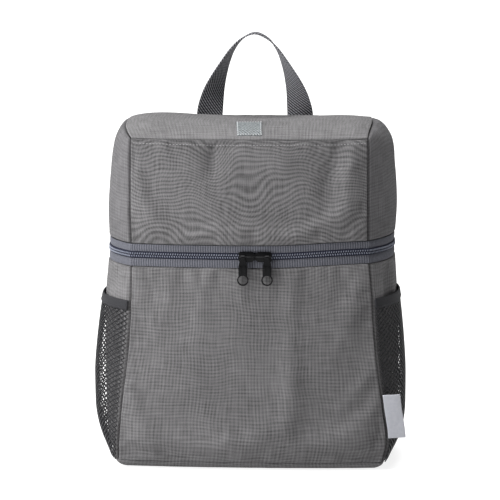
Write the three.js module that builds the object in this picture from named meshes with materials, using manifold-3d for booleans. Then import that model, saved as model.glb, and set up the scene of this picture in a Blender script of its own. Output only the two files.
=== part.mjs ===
// A cooler backpack of grey polyester over foam: a two-part padded body that a zip closes on
// three sides, net pockets, a carry handle and two shoulder straps. Millimetres, +Z up. The
// front faces -Y, and the origin is the middle of the flat base, on the floor.
import * as THREE from "three";
import { mergeVertices } from "three/addons/utils/BufferGeometryUtils.js";
import Module from "manifold-3d";

// Body
const BODY_HEIGHT = 326; // floor to the crown of the lid
const FRONT_SEAM_HEIGHT = 310.5; // floor to the ends of the seam of lid front and lid top
const BACK_SEAM_HEIGHT = 320; // floor to the ends of the seam of back and lid top
const FRONT_SEAM_ARCH = -1; // how far the middle of each top seam is over its ends
const LEFT_SEAM_ARCH = 4.5;
const BACK_SEAM_ARCH = 1;
const CORNER_RISE = 5.5; // how far the right top seam climbs just behind its front corner
const BOTTOM_SEAM_HEIGHT = 7; // how far the bottom panel turns up to its seam
const BOTTOM_RIM = 15; // how far in from its seam the bottom panel is flat
const FRONT_WIDTH = 222; // between the front seams, at the zip
const BACK_WIDTH = 236; // between the back seams, at the zip
const BODY_DEPTH = 144; // front seams to back seams, at the widest
const FRONT_BOW = 13; // how far the front swells past the line between its seams
const SIDE_BOW = 22;
const BACK_BOW = 7;
const LEAN = 2.5; // how far the lid stands left of the base
const DENT_DEPTH = 5; // how deep a dent of share 1 is
const WALL = 4; // outer cloth, foam and inner cloth
const SEAM_GAP = 0.4; // between the edges of two panels that a seam joins
const CLEARANCE = 0.3; // between pieces that lie on each other

// Zip
const ZIP_HEIGHT = 202; // floor to the middle of the teeth, on the left
const ZIP_LIFT = 4; // how much higher the zip is on the right
const TEETH_HEIGHT = 6.4;
const UPPER_TAPE_HEIGHT = 6.5; // what shows of the tape, above the teeth
const LOWER_TAPE_HEIGHT = 7.2;
const TAPE_THICKNESS = 1.2;
const TAPE_RECESS = 1; // how deep the tape lies under the face of the panels
const TEETH_RISE = 1.5; // how far the teeth stand out of the tape
const MEETING_ACROSS = 4; // where the two sliders meet, right of the middle
const SLIDER_LENGTH = 15;
const SLIDER_HEIGHT = 9.6;
const SLIDER_PLATE = 1.4;
const SLIDER_POST = 2; // the post at a slider's nose, which parts the teeth
const BRIDGE_RADIUS = 0.7; // the bar that a pull hangs on
const BRIDGE_SPAN = 12.4; // between the middles of the bar's feet
const PULL_OFFSET = 3.5; // from a slider's middle to its pull
const EYE_WALL = 1;
const EYE_CLEARANCE = 0.35; // around the bar, in the eye of the pull
const EYE_WIDTH = 3.6;
const PULL_LENGTH = 26.5; // from the bar to the end of the ring
const PULL_WIDTH = 8;
const PULL_THICKNESS = 1.8;
const RING_OUTER = 5.3; // radii of the ring at the end of the pull
const RING_INNER = 4.1;
const PULL_RIB = 0.5;

// Pockets
const POCKET_HEIGHT = 159; // floor to the top of the hem
const HEM_HEIGHT = 9;
const HEM_THICKNESS = 2;
const NET_THICKNESS = 1.2;
const POCKET_BULGE = 9.5; // how far the net swells off the side panel
const MOUTH_SHARE = 0.12; // the share of that swell that is left at the hem
const NET_STRAND = 4.5; // what is left of the net between the tips of two holes
const NET_MARGIN = 6; // solid border round the holes
const NET_COLUMNS = 12;
const NET_ROWS = 10;

// Handle, patch and label
const WEBBING_THICKNESS = 1.6;
const HANDLE_WIDTH = 25;
const HANDLE_SPACING = 88; // between the middles of its two legs
const HANDLE_ACROSS = -4;
const HANDLE_RISE = 79.5; // over the back seam
const HANDLE_TAIL = 16; // what is sewn to the back, under the seam
const PATCH_WIDTH = 23;
const PATCH_LENGTH = 30;
const PATCH_THICKNESS = 0.8;
const PATCH_SETBACK = 4; // from the front seam of the lid's top
const PATCH_ACROSS = 1.1;
const LABEL_WIDTH = 16;
const LABEL_LENGTH = 40;
const LABEL_BOTTOM = 31; // floor to its lower end
const LABEL_THICKNESS = 0.8;
const LABEL_TURN = 0.25; // how far it runs back for each millimetre outwards

// Shoulder straps
const STRAP_TOP = 292; // floor to the upper end
const STRAP_DROP = 178; // height from the upper end to the lower one
const STRAP_WIDTH = 56;
const STRAP_TIP_WIDTH = 30;
const STRAP_THICKNESS = 9;
const STRAP_TIP_THICKNESS = 3;
const STRAP_STANDOFF = 24; // how far a strap arches off the back
const STRAP_ACROSS = 42; // from the middle of the back to the middle of a strap's upper end
const STRAP_SPLAY = 38; // how much further out its lower end is
const LOCK_WIDTH = 34;
const LOCK_THICKNESS = 3.2;
const LOCK_BAR = 3.2;
const LOCK_SLOT = 6;
const STRAP_EDGE = 2.5; // chamfer along both edges of a strap
const WEBBING_WIDTH = 25;
const LOOP_OVERLAP = 16; // how far the loop of webbing runs up both faces of the strap
const ANCHOR_HEIGHT = 30; // floor to the middle of the sewn end of the lower webbing
const ANCHOR_LENGTH = 18;
const ANCHOR_ACROSS = 104;

// Plan of the body at several heights, as shares of the sizes above: at is a share of
// FRONT_SEAM_HEIGHT, and the rest are shares of the widths, the depth, the bows and the lean.
const SECTIONS = [
  {
    at: 0.02, front: 1.125, back: 1.04, deep: 0.95,
    frontBow: 0.6, leftBow: 0.42, rightBow: 0.2, backBow: 0.2, lean: 0.7,
  },
  {
    at: 0.09, front: 1.14, back: 1.06, deep: 0.99,
    frontBow: 0.95, leftBow: 0.66, rightBow: 0.38, backBow: 0.7, lean: -0.3,
  },
  {
    at: 0.2, front: 1.105, back: 1.045, deep: 1,
    frontBow: 1.1, leftBow: 0.86, rightBow: 0.62, backBow: 1, lean: -0.1,
  },
  {
    at: 0.37, front: 1.046, back: 1.025, deep: 1,
    frontBow: 1.1, leftBow: 1.08, rightBow: 0.8, backBow: 1, lean: 0,
  },
  {
    at: 0.52, front: 1.018, back: 1.01, deep: 0.99,
    frontBow: 1, leftBow: 1.16, rightBow: 0.84, backBow: 0.9, lean: 0.1,
  },
  {
    at: 0.65, front: 1, back: 1, deep: 0.97,
    frontBow: 0.82, leftBow: 1.02, rightBow: 0.88, backBow: 0.7, lean: 0.7,
  },
  {
    at: 0.77, front: 1, back: 1, deep: 0.98,
    frontBow: 1, leftBow: 1, rightBow: 1, backBow: 0.9, lean: 1,
  },
  {
    at: 0.88, front: 1, back: 1, deep: 0.97,
    frontBow: 0.85, leftBow: 0.84, rightBow: 0.9, backBow: 0.8, lean: 1,
  },
  {
    at: 0.95, front: 1, back: 0.99, deep: 0.95,
    frontBow: 0.6, leftBow: 0.64, rightBow: 0.74, backBow: 0.5, lean: 1,
  },
  {
    at: 1, front: 1, back: 0.96, deep: 0.92,
    frontBow: 0.3, leftBow: 0.4, rightBow: 0.12, backBow: 0.2, lean: 1,
  },
];

// Soft dents and swells, as shares: across and up place one in its panel, wide and tall are its
// reach, and deep is a share of DENT_DEPTH, negative where the cloth swells.
const DENTS = [
  { panel: "lid_front", across: 0.35, up: 0.86, wide: 0.05, tall: 0.24, deep: 0.75 },
  { panel: "lid_front", across: 0.84, up: 0.62, wide: 0.05, tall: 0.3, deep: 0.55 },
  { panel: "lid_front", across: 0.93, up: 0.72, wide: 0.05, tall: 0.22, deep: -0.5 },
  { panel: "lid_front", across: 0.55, up: 0.55, wide: 0.16, tall: 0.2, deep: 0.4 },
  { panel: "lower_front", across: 0.07, up: 0.84, wide: 0.05, tall: 0.14, deep: 0.7 },
  { panel: "lower_front", across: 0.62, up: 0.62, wide: 0.14, tall: 0.3, deep: 0.45 },
  { panel: "lower_front", across: 0.3, up: 0.25, wide: 0.12, tall: 0.1, deep: 0.45 },
  { panel: "lower_front", across: 0.86, up: 0.12, wide: 0.1, tall: 0.1, deep: -0.5 },
  { panel: "lid_top", across: 0.52, up: 0.85, wide: 0.28, tall: 0.38, deep: 1.5 },
  { panel: "lid_top", across: 0.88, up: 0.35, wide: 0.05, tall: 0.2, deep: 0.5 },
  { panel: "lid_side_right", across: 0.32, up: 0.45, wide: 0.16, tall: 0.5, deep: 0.35 },
  { panel: "lower_side_left", across: 0.18, up: 0.93, wide: 0.08, tall: 0.08, deep: 0.5 },
  { panel: "lower_side_right", across: 0.2, up: 0.92, wide: 0.08, tall: 0.1, deep: 0.6 },
];

// The arch of the handle, from the top of one leg to the peak, as shares of its half spacing
// and its rise.
const HANDLE_ARCH = [
  { across: 1.0, up: 0.0 },
  { across: 0.93, up: 0.24 },
  { across: 0.83, up: 0.42 },
  { across: 0.66, up: 0.64 },
  { across: 0.49, up: 0.81 },
  { across: 0.27, up: 0.94 },
  { across: 0.0, up: 1.0 },
];

// A shoulder strap from its upper end to its lower one, as shares of its drop, its standoff and
// its splay.
const STRAP_PATH = [
  { down: 0.0, out: 0.0, across: 0.0 },
  { down: 0.09, out: 0.03, across: 0.02 },
  { down: 0.3, out: 0.62, across: 0.12 },
  { down: 0.55, out: 1.0, across: 0.34 },
  { down: 0.8, out: 0.82, across: 0.68 },
  { down: 1.0, out: 0.45, across: 1.0 },
];

const BASE_GRID_SHIFT = 0.02;
const FRONT_STEPS = 13;
const SIDE_STEPS = 9;
const LOWER_STEPS = 8;
const LID_STEPS = 6;

const CLOTH = { color: 0x77757a, roughness: 0.9, metalness: 0 };
const TAPE = { color: 0x52545c, roughness: 0.85, metalness: 0 };
const TEETH = { color: 0x42444d, roughness: 0.5, metalness: 0 };
const WEBBING = { color: 0x4c4c50, roughness: 0.9, metalness: 0 };
const NET = { color: 0x26262a, roughness: 0.8, metalness: 0 };
const BLACK_METAL = { color: 0x17171a, roughness: 0.35, metalness: 0.5 };
const BLACK_PLASTIC = { color: 0x1a1a1c, roughness: 0.5, metalness: 0 };
const PATCH = { color: 0x93999a, roughness: 0.8, metalness: 0 };
const LABEL = { color: 0xd6dae4, roughness: 0.6, metalness: 0 };

const wasm = await Module();
wasm.setup();

const LOWER_EDGE = ZIP_HEIGHT - TEETH_HEIGHT / 2 - LOWER_TAPE_HEIGHT;
const UPPER_EDGE = ZIP_HEIGHT + TEETH_HEIGHT / 2 + UPPER_TAPE_HEIGHT;

const Y = new THREE.Vector3(0, 1, 0);
const lerp = THREE.MathUtils.lerp;
const clamp = THREE.MathUtils.clamp;

// 0 at both ends of 0 to 1 and 1 in the middle; a higher power gives a flatter middle.
function bow(share, power = 2.4) {
  return 1 - Math.abs(2 * share - 1) ** power;
}

// A column of a table at a place between its rows, on a smooth curve through them.
function along(rows, key, column, place) {
  const last = rows.length - 1;
  const next = clamp(rows.findIndex((row) => row[key] > place), 1, last);
  const at = place >= rows[last][key] ? last : next;
  const [a, b] = [rows[at - 1], rows[at]];
  const slope = (row) => {
    const [low, high] = [rows[Math.max(row - 1, 0)], rows[Math.min(row + 1, last)]];
    return (high[column] - low[column]) / (high[key] - low[key]);
  };
  const width = b[key] - a[key];
  const t = clamp((place - a[key]) / width, 0, 1);
  const rise = t * t * (3 - 2 * t);
  const leave = t * (1 - t) * (1 - t) * width * slope(at - 1);
  const arrive = t * t * (t - 1) * width * slope(at);
  return lerp(a[column], b[column], rise) + leave + arrive;
}

// The plan of the body at a level, which is a height on the front seams.
function section(level) {
  const at = level / FRONT_SEAM_HEIGHT;
  const read = (column) => along(SECTIONS, "at", column, at);
  return {
    front: (read("front") * FRONT_WIDTH) / 2,
    back: (read("back") * BACK_WIDTH) / 2,
    deep: (read("deep") * BODY_DEPTH) / 2,
    frontBow: read("frontBow") * FRONT_BOW,
    leftBow: read("leftBow") * SIDE_BOW,
    rightBow: read("rightBow") * SIDE_BOW,
    backBow: read("backBow") * BACK_BOW,
    middle: -read("lean") * LEAN,
  };
}

// The real height of a level where the top seam is topHeight high and the zip is lifted. Under
// the skin the bottom seam moves up by depth and the top seam down, so that the walls of two
// panels meet in a mitre.
function heightAt(level, topHeight, depth, lift) {
  const zip = ZIP_HEIGHT + lift;
  if (level <= ZIP_HEIGHT) {
    const up = (level - BOTTOM_SEAM_HEIGHT) / (ZIP_HEIGHT - BOTTOM_SEAM_HEIGHT);
    return lerp(BOTTOM_SEAM_HEIGHT + depth, zip, up);
  }
  const up = (level - ZIP_HEIGHT) / (FRONT_SEAM_HEIGHT - ZIP_HEIGHT);
  return lerp(zip, topHeight - depth, up);
}

// The zip rises from a little right of the middle to the right end.
function liftAt(across) {
  return ZIP_LIFT * THREE.MathUtils.smoothstep(across, 0.55, 1);
}

function frontPoint(across, level, depth) {
  const plan = section(level);
  const top = FRONT_SEAM_HEIGHT + FRONT_SEAM_ARCH * bow(across, 5);
  return new THREE.Vector3(
    plan.middle + (2 * across - 1) * (plan.front - depth),
    depth - plan.deep - plan.frontBow * bow(across),
    heightAt(level, top, depth, liftAt(across)),
  );
}

function backPoint(across, level, depth) {
  const plan = section(level);
  const top = BACK_SEAM_HEIGHT + BACK_SEAM_ARCH * bow(across);
  return new THREE.Vector3(
    plan.middle + (2 * across - 1) * (plan.back - depth),
    plan.deep - depth + plan.backBow * bow(across),
    heightAt(level, top, depth, liftAt(across)),
  );
}

// side is -1 for the left and 1 for the right, and back runs from the front seam to the back one.
function sidePoint(side, back, level, depth) {
  const plan = section(level);
  const climb = (1 - (1 - back) ** 14) * (1 - THREE.MathUtils.smoothstep(back, 0.3, 1));
  const arch = side < 0 ? LEFT_SEAM_ARCH * bow(back) : CORNER_RISE * climb;
  const top = lerp(FRONT_SEAM_HEIGHT, BACK_SEAM_HEIGHT, back) + arch;
  const swell = side < 0 ? plan.leftBow : plan.rightBow;
  const wide = lerp(plan.front, plan.back, back) - depth + swell * bow(back);
  const y = (2 * back - 1) * (plan.deep - depth);
  const z = heightAt(level, top, depth, liftAt(side < 0 ? 0 : 1));
  return new THREE.Vector3(plan.middle + side * wide, y, z);
}

// A patch between four edges: the plan of the lid's top and of the bottom.
function coons(across, back, level, depth) {
  const front = frontPoint(across, level, depth);
  const rear = backPoint(across, level, depth);
  const left = sidePoint(-1, back, level, depth);
  const right = sidePoint(1, back, level, depth);
  const corner = (a, b) => sidePoint(a ? 1 : -1, b, level, depth);
  const low = corner(0, 0).lerp(corner(1, 0), across);
  const high = corner(0, 1).lerp(corner(1, 1), across);
  return front
    .lerp(rear, back)
    .add(left.lerp(right, across))
    .sub(low.lerp(high, back));
}

const CROWN = BODY_HEIGHT - coons(0.5, 0.5, FRONT_SEAM_HEIGHT, 0).z;

function topPoint(across, back, depth) {
  const point = coons(across, back, FRONT_SEAM_HEIGHT, depth);
  point.z += CROWN * bow(across, 7) * bow(back, 4);
  return point;
}

function bottomPoint(across, back, depth) {
  const point = coons(across, back, BOTTOM_SEAM_HEIGHT, depth);
  const plan = section(BOTTOM_SEAM_HEIGHT);
  const fromSide = Math.min(across, 1 - across) * 2 * plan.front;
  const fromEnd = Math.min(back, 1 - back) * 2 * plan.deep;
  const inward = clamp(Math.min(fromSide, fromEnd) / BOTTOM_RIM, 0, 1);
  point.z = BOTTOM_SEAM_HEIGHT * (1 - inward) ** 2 + depth;
  return point;
}

// Shares from 0 to 1 that lie closer together at the ends, where a panel turns into its seams.
function spaced(steps) {
  const turn = (i) => (1 - Math.cos((Math.PI * i) / steps)) / 2;
  return Array.from({ length: steps + 1 }, (_, i) => lerp(i / steps, turn(i), 0.75));
}

// Shares that stop half a gap short of both ends of an edge of that length.
function betweenSeams(shares, length, gap = SEAM_GAP) {
  const inset = gap / 2 / length;
  return shares.map((share) => lerp(inset, 1 - inset, share));
}

const FRONT_SHARES = betweenSeams(spaced(FRONT_STEPS), FRONT_WIDTH);
const SIDE_SHARES = betweenSeams(spaced(SIDE_STEPS), BODY_DEPTH);
const LOWER_LEVELS = levels(LOWER_STEPS, BOTTOM_SEAM_HEIGHT + SEAM_GAP / 2, LOWER_EDGE);
const LID_LEVELS = levels(LID_STEPS, UPPER_EDGE, FRONT_SEAM_HEIGHT - SEAM_GAP / 2);

function levels(steps, low, high) {
  return spaced(steps).map((share) => lerp(low, high, share));
}

// How far the dents of a panel move a point in. They fade out at the panel's edges.
function dent(panel, across, up) {
  const fade = bow(across, 6) * bow(up, 6);
  return DENTS.filter((row) => row.panel === panel).reduce((sum, row) => {
    const reach = ((across - row.across) / row.wide) ** 2 + ((up - row.up) / row.tall) ** 2;
    return sum + row.deep * DENT_DEPTH * fade * Math.exp(-reach);
  }, 0);
}

// A geometry from points and triangles, turned so that its faces point out.
function closedGeometry(points, triangles) {
  const [a, b, c] = [new THREE.Vector3(), new THREE.Vector3(), new THREE.Vector3()];
  let volume = 0;
  for (const [i, j, k] of triangles) {
    volume += a.copy(points[i]).cross(b.copy(points[j])).dot(c.copy(points[k]));
  }
  const order = volume < 0 ? ([i, j, k]) => [i, k, j] : (corners) => corners;
  const geometry = new THREE.BufferGeometry().setFromPoints(points);
  geometry.setIndex(triangles.flatMap(order));
  geometry.computeVertexNormals();
  return geometry;
}

// A closed wall between two grids of points. at(u, v, depth) gives a point of the outer face at
// depth 0 and of the inner face at full depth.
function wall(us, vs, thickness, at) {
  const faces = [0, thickness];
  const points = faces.flatMap((depth) => us.flatMap((u) => vs.map((v) => at(u, v, depth))));
  const [rows, columns] = [us.length, vs.length];
  const index = (face, i, j) => (face * rows + i) * columns + j;
  const triangles = [];
  const quad = (a, b, c, d) => triangles.push([a, b, c], [a, c, d]);
  for (let i = 0; i + 1 < rows; i++) {
    for (let j = 0; j + 1 < columns; j++) {
      quad(index(0, i, j), index(0, i + 1, j), index(0, i + 1, j + 1), index(0, i, j + 1));
      quad(index(1, i, j), index(1, i, j + 1), index(1, i + 1, j + 1), index(1, i + 1, j));
    }
  }
  const rim = [];
  for (let i = 0; i + 1 < rows; i++) rim.push([i, 0]);
  for (let j = 0; j + 1 < columns; j++) rim.push([rows - 1, j]);
  for (let i = rows - 1; i > 0; i--) rim.push([i, columns - 1]);
  for (let j = columns - 1; j > 0; j--) rim.push([0, j]);
  rim.forEach(([i, j], n) => {
    const [p, q] = rim[(n + 1) % rim.length];
    quad(index(0, i, j), index(1, i, j), index(1, p, q), index(0, p, q));
  });
  return closedGeometry(points, triangles);
}

// A closed bar through equal rings of points.
function loft(rings) {
  const sides = rings[0].length;
  const triangles = [];
  for (let i = 0; i + 1 < rings.length; i++) {
    for (let j = 0; j < sides; j++) {
      const [a, b] = [i * sides + j, i * sides + ((j + 1) % sides)];
      triangles.push([a, b, b + sides], [a, b + sides, a + sides]);
    }
  }
  const last = (rings.length - 1) * sides;
  for (let j = 1; j + 1 < sides; j++) {
    triangles.push([0, j + 1, j], [last, last + j, last + j + 1]);
  }
  return closedGeometry(rings.flat(), triangles);
}

// A flat band along a curve. wideAt gives its width direction at a share of its length, and
// sizeAt its width and thickness.
function band(curve, steps, wideAt, sizeAt, chamfer = 0) {
  const rings = [];
  for (let i = 0; i <= steps; i++) {
    const share = i / steps;
    const middle = curve.getPointAt(share);
    const tangent = curve.getTangentAt(share);
    const across = wideAt(share, tangent).normalize();
    const out = new THREE.Vector3().crossVectors(across, tangent).normalize();
    const { width, thickness } = sizeAt(share);
    const [w, t] = [width / 2, thickness / 2];
    const cut = Math.min(chamfer, t * 0.8);
    const outline = chamfer
      ? [[-w, cut - t], [cut - w, -t], [w - cut, -t], [w, cut - t],
         [w, t - cut], [w - cut, t], [cut - w, t], [-w, t - cut]]
      : [[-w, -t], [w, -t], [w, t], [-w, t]];
    rings.push(
      outline.map(([a, b]) => middle.clone().addScaledVector(across, a).addScaledVector(out, b)),
    );
  }
  return loft(rings);
}

function solidOf(geometry) {
  const bare = geometry.clone();
  for (const name of Object.keys(bare.attributes)) {
    if (name !== "position") bare.deleteAttribute(name);
  }
  const merged = mergeVertices(bare);
  return new wasm.Manifold(
    new wasm.Mesh({
      numProp: 3,
      vertProperties: merged.attributes.position.array,
      triVerts: new Uint32Array(merged.index.array),
    }),
  );
}

function geometryOf(solid) {
  const mesh = solid.getMesh();
  const geometry = new THREE.BufferGeometry();
  geometry.setAttribute("position", new THREE.BufferAttribute(mesh.vertProperties, 3));
  geometry.setIndex(new THREE.BufferAttribute(mesh.triVerts, 1));
  geometry.computeVertexNormals();
  return geometry;
}

function joined(geometries) {
  return geometries.map(solidOf).reduce((sum, solid) => sum.add(solid));
}

const backpack = new THREE.Group();

function add(name, geometry, finish, parent = backpack) {
  const mesh = new THREE.Mesh(geometry, new THREE.MeshStandardMaterial(finish));
  mesh.name = name;
  parent.add(mesh);
  return mesh;
}

const SIDES = [
  { side: -1, name: "left", fullness: 1 },
  { side: 1, name: "right", fullness: 0.55 },
];

function upShare(level, low, high) {
  return (level - low) / (high - low);
}

function addFrontPanels() {
  const panels = [
    { name: "lower_front", list: LOWER_LEVELS },
    { name: "lid_front", list: LID_LEVELS },
  ];
  for (const { name, list } of panels) {
    const [low, high] = [list[0], list[list.length - 1]];
    const at = (across, level, depth) => {
      const point = frontPoint(across, level, depth);
      point.y += dent(name, across, upShare(level, low, high));
      return point;
    };
    add(`${name}_panel`, wall(FRONT_SHARES, list, WALL, at), CLOTH);
  }
}

function addSidePanels() {
  const panels = [
    { level: "lower", list: LOWER_LEVELS },
    { level: "lid", list: LID_LEVELS },
  ];
  for (const { side, name } of SIDES) {
    for (const { level, list } of panels) {
      const panel = `${level}_side_${name}`;
      const [low, high] = [list[0], list[list.length - 1]];
      const at = (back, height, depth) => {
        const point = sidePoint(side, back, height, depth);
        point.x -= side * dent(panel, back, upShare(height, low, high));
        return point;
      };
      add(panel, wall(SIDE_SHARES, list, WALL, at), CLOTH);
    }
  }
}

function addBackPanel() {
  const list = [...LOWER_LEVELS, ...LID_LEVELS];
  add("back_panel", wall(FRONT_SHARES, list, WALL, backPoint), CLOTH);
}

function topSurface(across, back, depth) {
  const point = topPoint(across, back, depth);
  point.z -= dent("lid_top", across, back);
  return point;
}

function addTopAndBottom() {
  add("lid_top_panel", wall(FRONT_SHARES, SIDE_SHARES, WALL, topSurface), CLOTH);
  // No edge of this grid crosses the origin, so that the base has a plain face there.
  const shares = FRONT_SHARES.map((share) => share + BASE_GRID_SHIFT * bow(share));
  add("bottom_panel", wall(shares, SIDE_SHARES, WALL, bottomPoint), CLOTH);
}

// The line that the zip follows, from the left back seam round the front to the right one. It is
// a list of places, each a function of level and depth.
function zipLine() {
  const onSide = (side) => (back) => (level, depth) => sidePoint(side, back, level, depth);
  const onFront = (across) => (level, depth) => frontPoint(across, level, depth);
  const left = [...SIDE_SHARES].reverse().map(onSide(-1));
  const front = FRONT_SHARES.map(onFront);
  const right = SIDE_SHARES.map(onSide(1));
  return [...left, ...front.slice(1, -1), ...right];
}

function addZipTapes() {
  const half = TEETH_HEIGHT / 2 + CLEARANCE;
  const tapes = [
    { name: "zip_tape_lower", low: LOWER_EDGE + CLEARANCE, high: ZIP_HEIGHT - half },
    { name: "zip_tape_upper", low: ZIP_HEIGHT + half, high: UPPER_EDGE - CLEARANCE },
  ];
  const [face, rear] = [TAPE_RECESS, TAPE_RECESS + TAPE_THICKNESS];
  for (const { name, low, high } of tapes) {
    const rings = zipLine().map((place) => [
      place(low, face),
      place(high, face),
      place(high, rear),
      place(low, rear),
    ]);
    add(name, loft(rings), TAPE);
  }
}

// A point of the zip's face on the front, where across is in millimetres from the middle.
function zipFront(x, depth) {
  const plan = section(ZIP_HEIGHT);
  return frontPoint(((x - plan.middle) / (plan.front - depth) + 1) / 2, ZIP_HEIGHT, depth);
}

// Each row of closed teeth ends in the slider that closed it.
function addZipTeeth() {
  const [half, shoulder] = [TEETH_HEIGHT / 2, TEETH_HEIGHT / 4];
  const crest = TAPE_RECESS - TEETH_RISE;
  const rear = TAPE_RECESS + TAPE_THICKNESS;
  const profile = (place) => [
    place(ZIP_HEIGHT - half, rear),
    place(ZIP_HEIGHT - half, TAPE_RECESS),
    place(ZIP_HEIGHT - shoulder, crest),
    place(ZIP_HEIGHT + shoulder, crest),
    place(ZIP_HEIGHT + half, TAPE_RECESS),
    place(ZIP_HEIGHT + half, rear),
  ];
  const line = zipLine();
  for (const { side, name } of SIDES) {
    const stop = MEETING_ACROSS + side * (SLIDER_POST + CLEARANCE);
    const beyond = (place) => side * (place(ZIP_HEIGHT, 0).x - stop) > SLIDER_POST;
    const end = (level, depth) => {
      const point = zipFront(stop, depth);
      point.z = level;
      return point;
    };
    const kept = line.filter(beyond);
    const places = side < 0 ? [...kept, end] : [end, ...kept];
    add(`zip_teeth_${name}`, loft(places.map(profile)), TEETH);
  }
}

function box(width, deep, tall, x, y, z) {
  return new THREE.BoxGeometry(width, deep, tall).translate(x, y, z);
}

const EYE_INNER = BRIDGE_RADIUS + EYE_CLEARANCE;
const EYE_OUTER = EYE_INNER + EYE_WALL;
const FACE_PLATE = TEETH_RISE + CLEARANCE; // tape to the near face of the slider's front plate
const BAR_OUT = FACE_PLATE + SLIDER_PLATE + EYE_OUTER + CLEARANCE; // tape to the bar's axis

// A slider in its own frame: X runs along the zip towards its nose, -Y is out of the bag, and
// the origin is on the face of the tape.
function sliderGeometry() {
  const rearFace = TAPE_THICKNESS + CLEARANCE;
  const facing = (y) => {
    const shape = new THREE.Shape();
    const [w, h, cut] = [SLIDER_LENGTH / 2, SLIDER_HEIGHT / 2, SLIDER_HEIGHT / 4];
    shape.moveTo(-w + cut / 2, -h).lineTo(w - cut, -h).lineTo(w, -h + cut).lineTo(w, h - cut);
    shape.lineTo(w - cut, h).lineTo(-w + cut / 2, h).lineTo(-w, h - cut / 2).lineTo(-w, -h + cut / 2);
    const geometry = new THREE.ExtrudeGeometry(shape, { depth: SLIDER_PLATE, bevelEnabled: false });
    return geometry.rotateX(Math.PI / 2).translate(0, y, 0);
  };
  const deep = FACE_PLATE + rearFace;
  const post = box(
    SLIDER_POST, deep + SLIDER_PLATE, TEETH_HEIGHT / 2,
    SLIDER_LENGTH / 2 - SLIDER_POST / 2, (rearFace - FACE_PLATE) / 2, 0,
  );
  const foot = (x) => box(
    BRIDGE_RADIUS * 2, BAR_OUT - FACE_PLATE, BRIDGE_RADIUS * 2,
    x, -(BAR_OUT + FACE_PLATE) / 2, 0,
  );
  const bar = new THREE.CylinderGeometry(
    BRIDGE_RADIUS, BRIDGE_RADIUS, BRIDGE_SPAN + BRIDGE_RADIUS * 2, 10,
  );
  bar.rotateZ(Math.PI / 2).translate(0, -BAR_OUT, 0);
  const pieces = [
    facing(-FACE_PLATE),
    facing(rearFace + SLIDER_PLATE),
    post,
    foot(-BRIDGE_SPAN / 2),
    foot(BRIDGE_SPAN / 2),
    bar,
  ];
  return geometryOf(joined(pieces));
}

// A pull in its own frame: the origin is on the axis of the bar, and it hangs down -Z.
function pullGeometry() {
  const ringHeight = RING_OUTER - PULL_LENGTH;
  const neck = Math.asin(PULL_WIDTH / 2 / RING_OUTER);
  const shape = new THREE.Shape();
  shape.moveTo(EYE_WIDTH / 2, 0);
  shape.lineTo(PULL_WIDTH / 2, -PULL_WIDTH);
  shape.absarc(0, ringHeight, RING_OUTER, Math.PI / 2 - neck, Math.PI / 2 + neck, true);
  shape.lineTo(-PULL_WIDTH / 2, -PULL_WIDTH);
  shape.lineTo(-EYE_WIDTH / 2, 0);
  const hole = new THREE.Path();
  hole.absarc(0, ringHeight, RING_INNER, 0, Math.PI * 2, false);
  shape.holes.push(hole);
  const tab = new THREE.ExtrudeGeometry(shape, {
    depth: PULL_THICKNESS, bevelEnabled: false, curveSegments: 12,
  });
  tab.rotateX(Math.PI / 2).translate(0, PULL_THICKNESS / 2, 0);
  const eye = new THREE.CylinderGeometry(EYE_OUTER, EYE_OUTER, EYE_WIDTH, 14).rotateZ(Math.PI / 2);
  const bore = new THREE.CylinderGeometry(EYE_INNER, EYE_INNER, PULL_WIDTH, 14).rotateZ(Math.PI / 2);
  const ribTop = -PULL_WIDTH;
  const ribEnd = ringHeight + RING_OUTER;
  const rib = (x) => box(
    PULL_RIB * 2, PULL_THICKNESS + PULL_RIB, ribTop - ribEnd,
    x, -PULL_RIB / 2, (ribTop + ribEnd) / 2,
  );
  const ribs = [rib(-PULL_WIDTH / 4), rib(PULL_WIDTH / 4)];
  return geometryOf(joined([tab, eye, ...ribs]).subtract(solidOf(bore)));
}

function addSliders() {
  for (const { side, name } of SIDES) {
    const middle = MEETING_ACROSS + side * (SLIDER_LENGTH / 2 + CLEARANCE / 2);
    const group = new THREE.Group();
    group.position.copy(zipFront(middle, TAPE_RECESS));
    group.position.z = ZIP_HEIGHT;
    backpack.add(group);
    const slider = add(`slider_${name}`, sliderGeometry(), BLACK_METAL, group);
    slider.rotation.y = side > 0 ? Math.PI : 0;
    const pull = add(`pull_${name}`, pullGeometry(), BLACK_METAL, group);
    pull.position.set(side * PULL_OFFSET, -BAR_OUT, 0);
  }
}

// How far the pocket's cloth lies off the side panel, back from the front seam to the back seam
// and up from the bottom seam to the top of the hem.
function pocketSwell(side, back, up) {
  const { fullness } = SIDES.find((row) => row.side === side);
  const rise = Math.sin((Math.PI / 2) * Math.min(1, up / 0.32));
  const fall = lerp(1, MOUTH_SHARE, clamp((up - 0.5) / 0.5, 0, 1) ** 1.4);
  return POCKET_BULGE * fullness * bow(back, 2.2) * rise * fall;
}

function pocketPoint(side, back, level, depth, thickness) {
  const point = sidePoint(side, back, level, 0);
  const up = upShare(level, BOTTOM_SEAM_HEIGHT, POCKET_HEIGHT);
  point.x += side * (CLEARANCE + thickness - depth + pocketSwell(side, back, up));
  return point;
}

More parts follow.
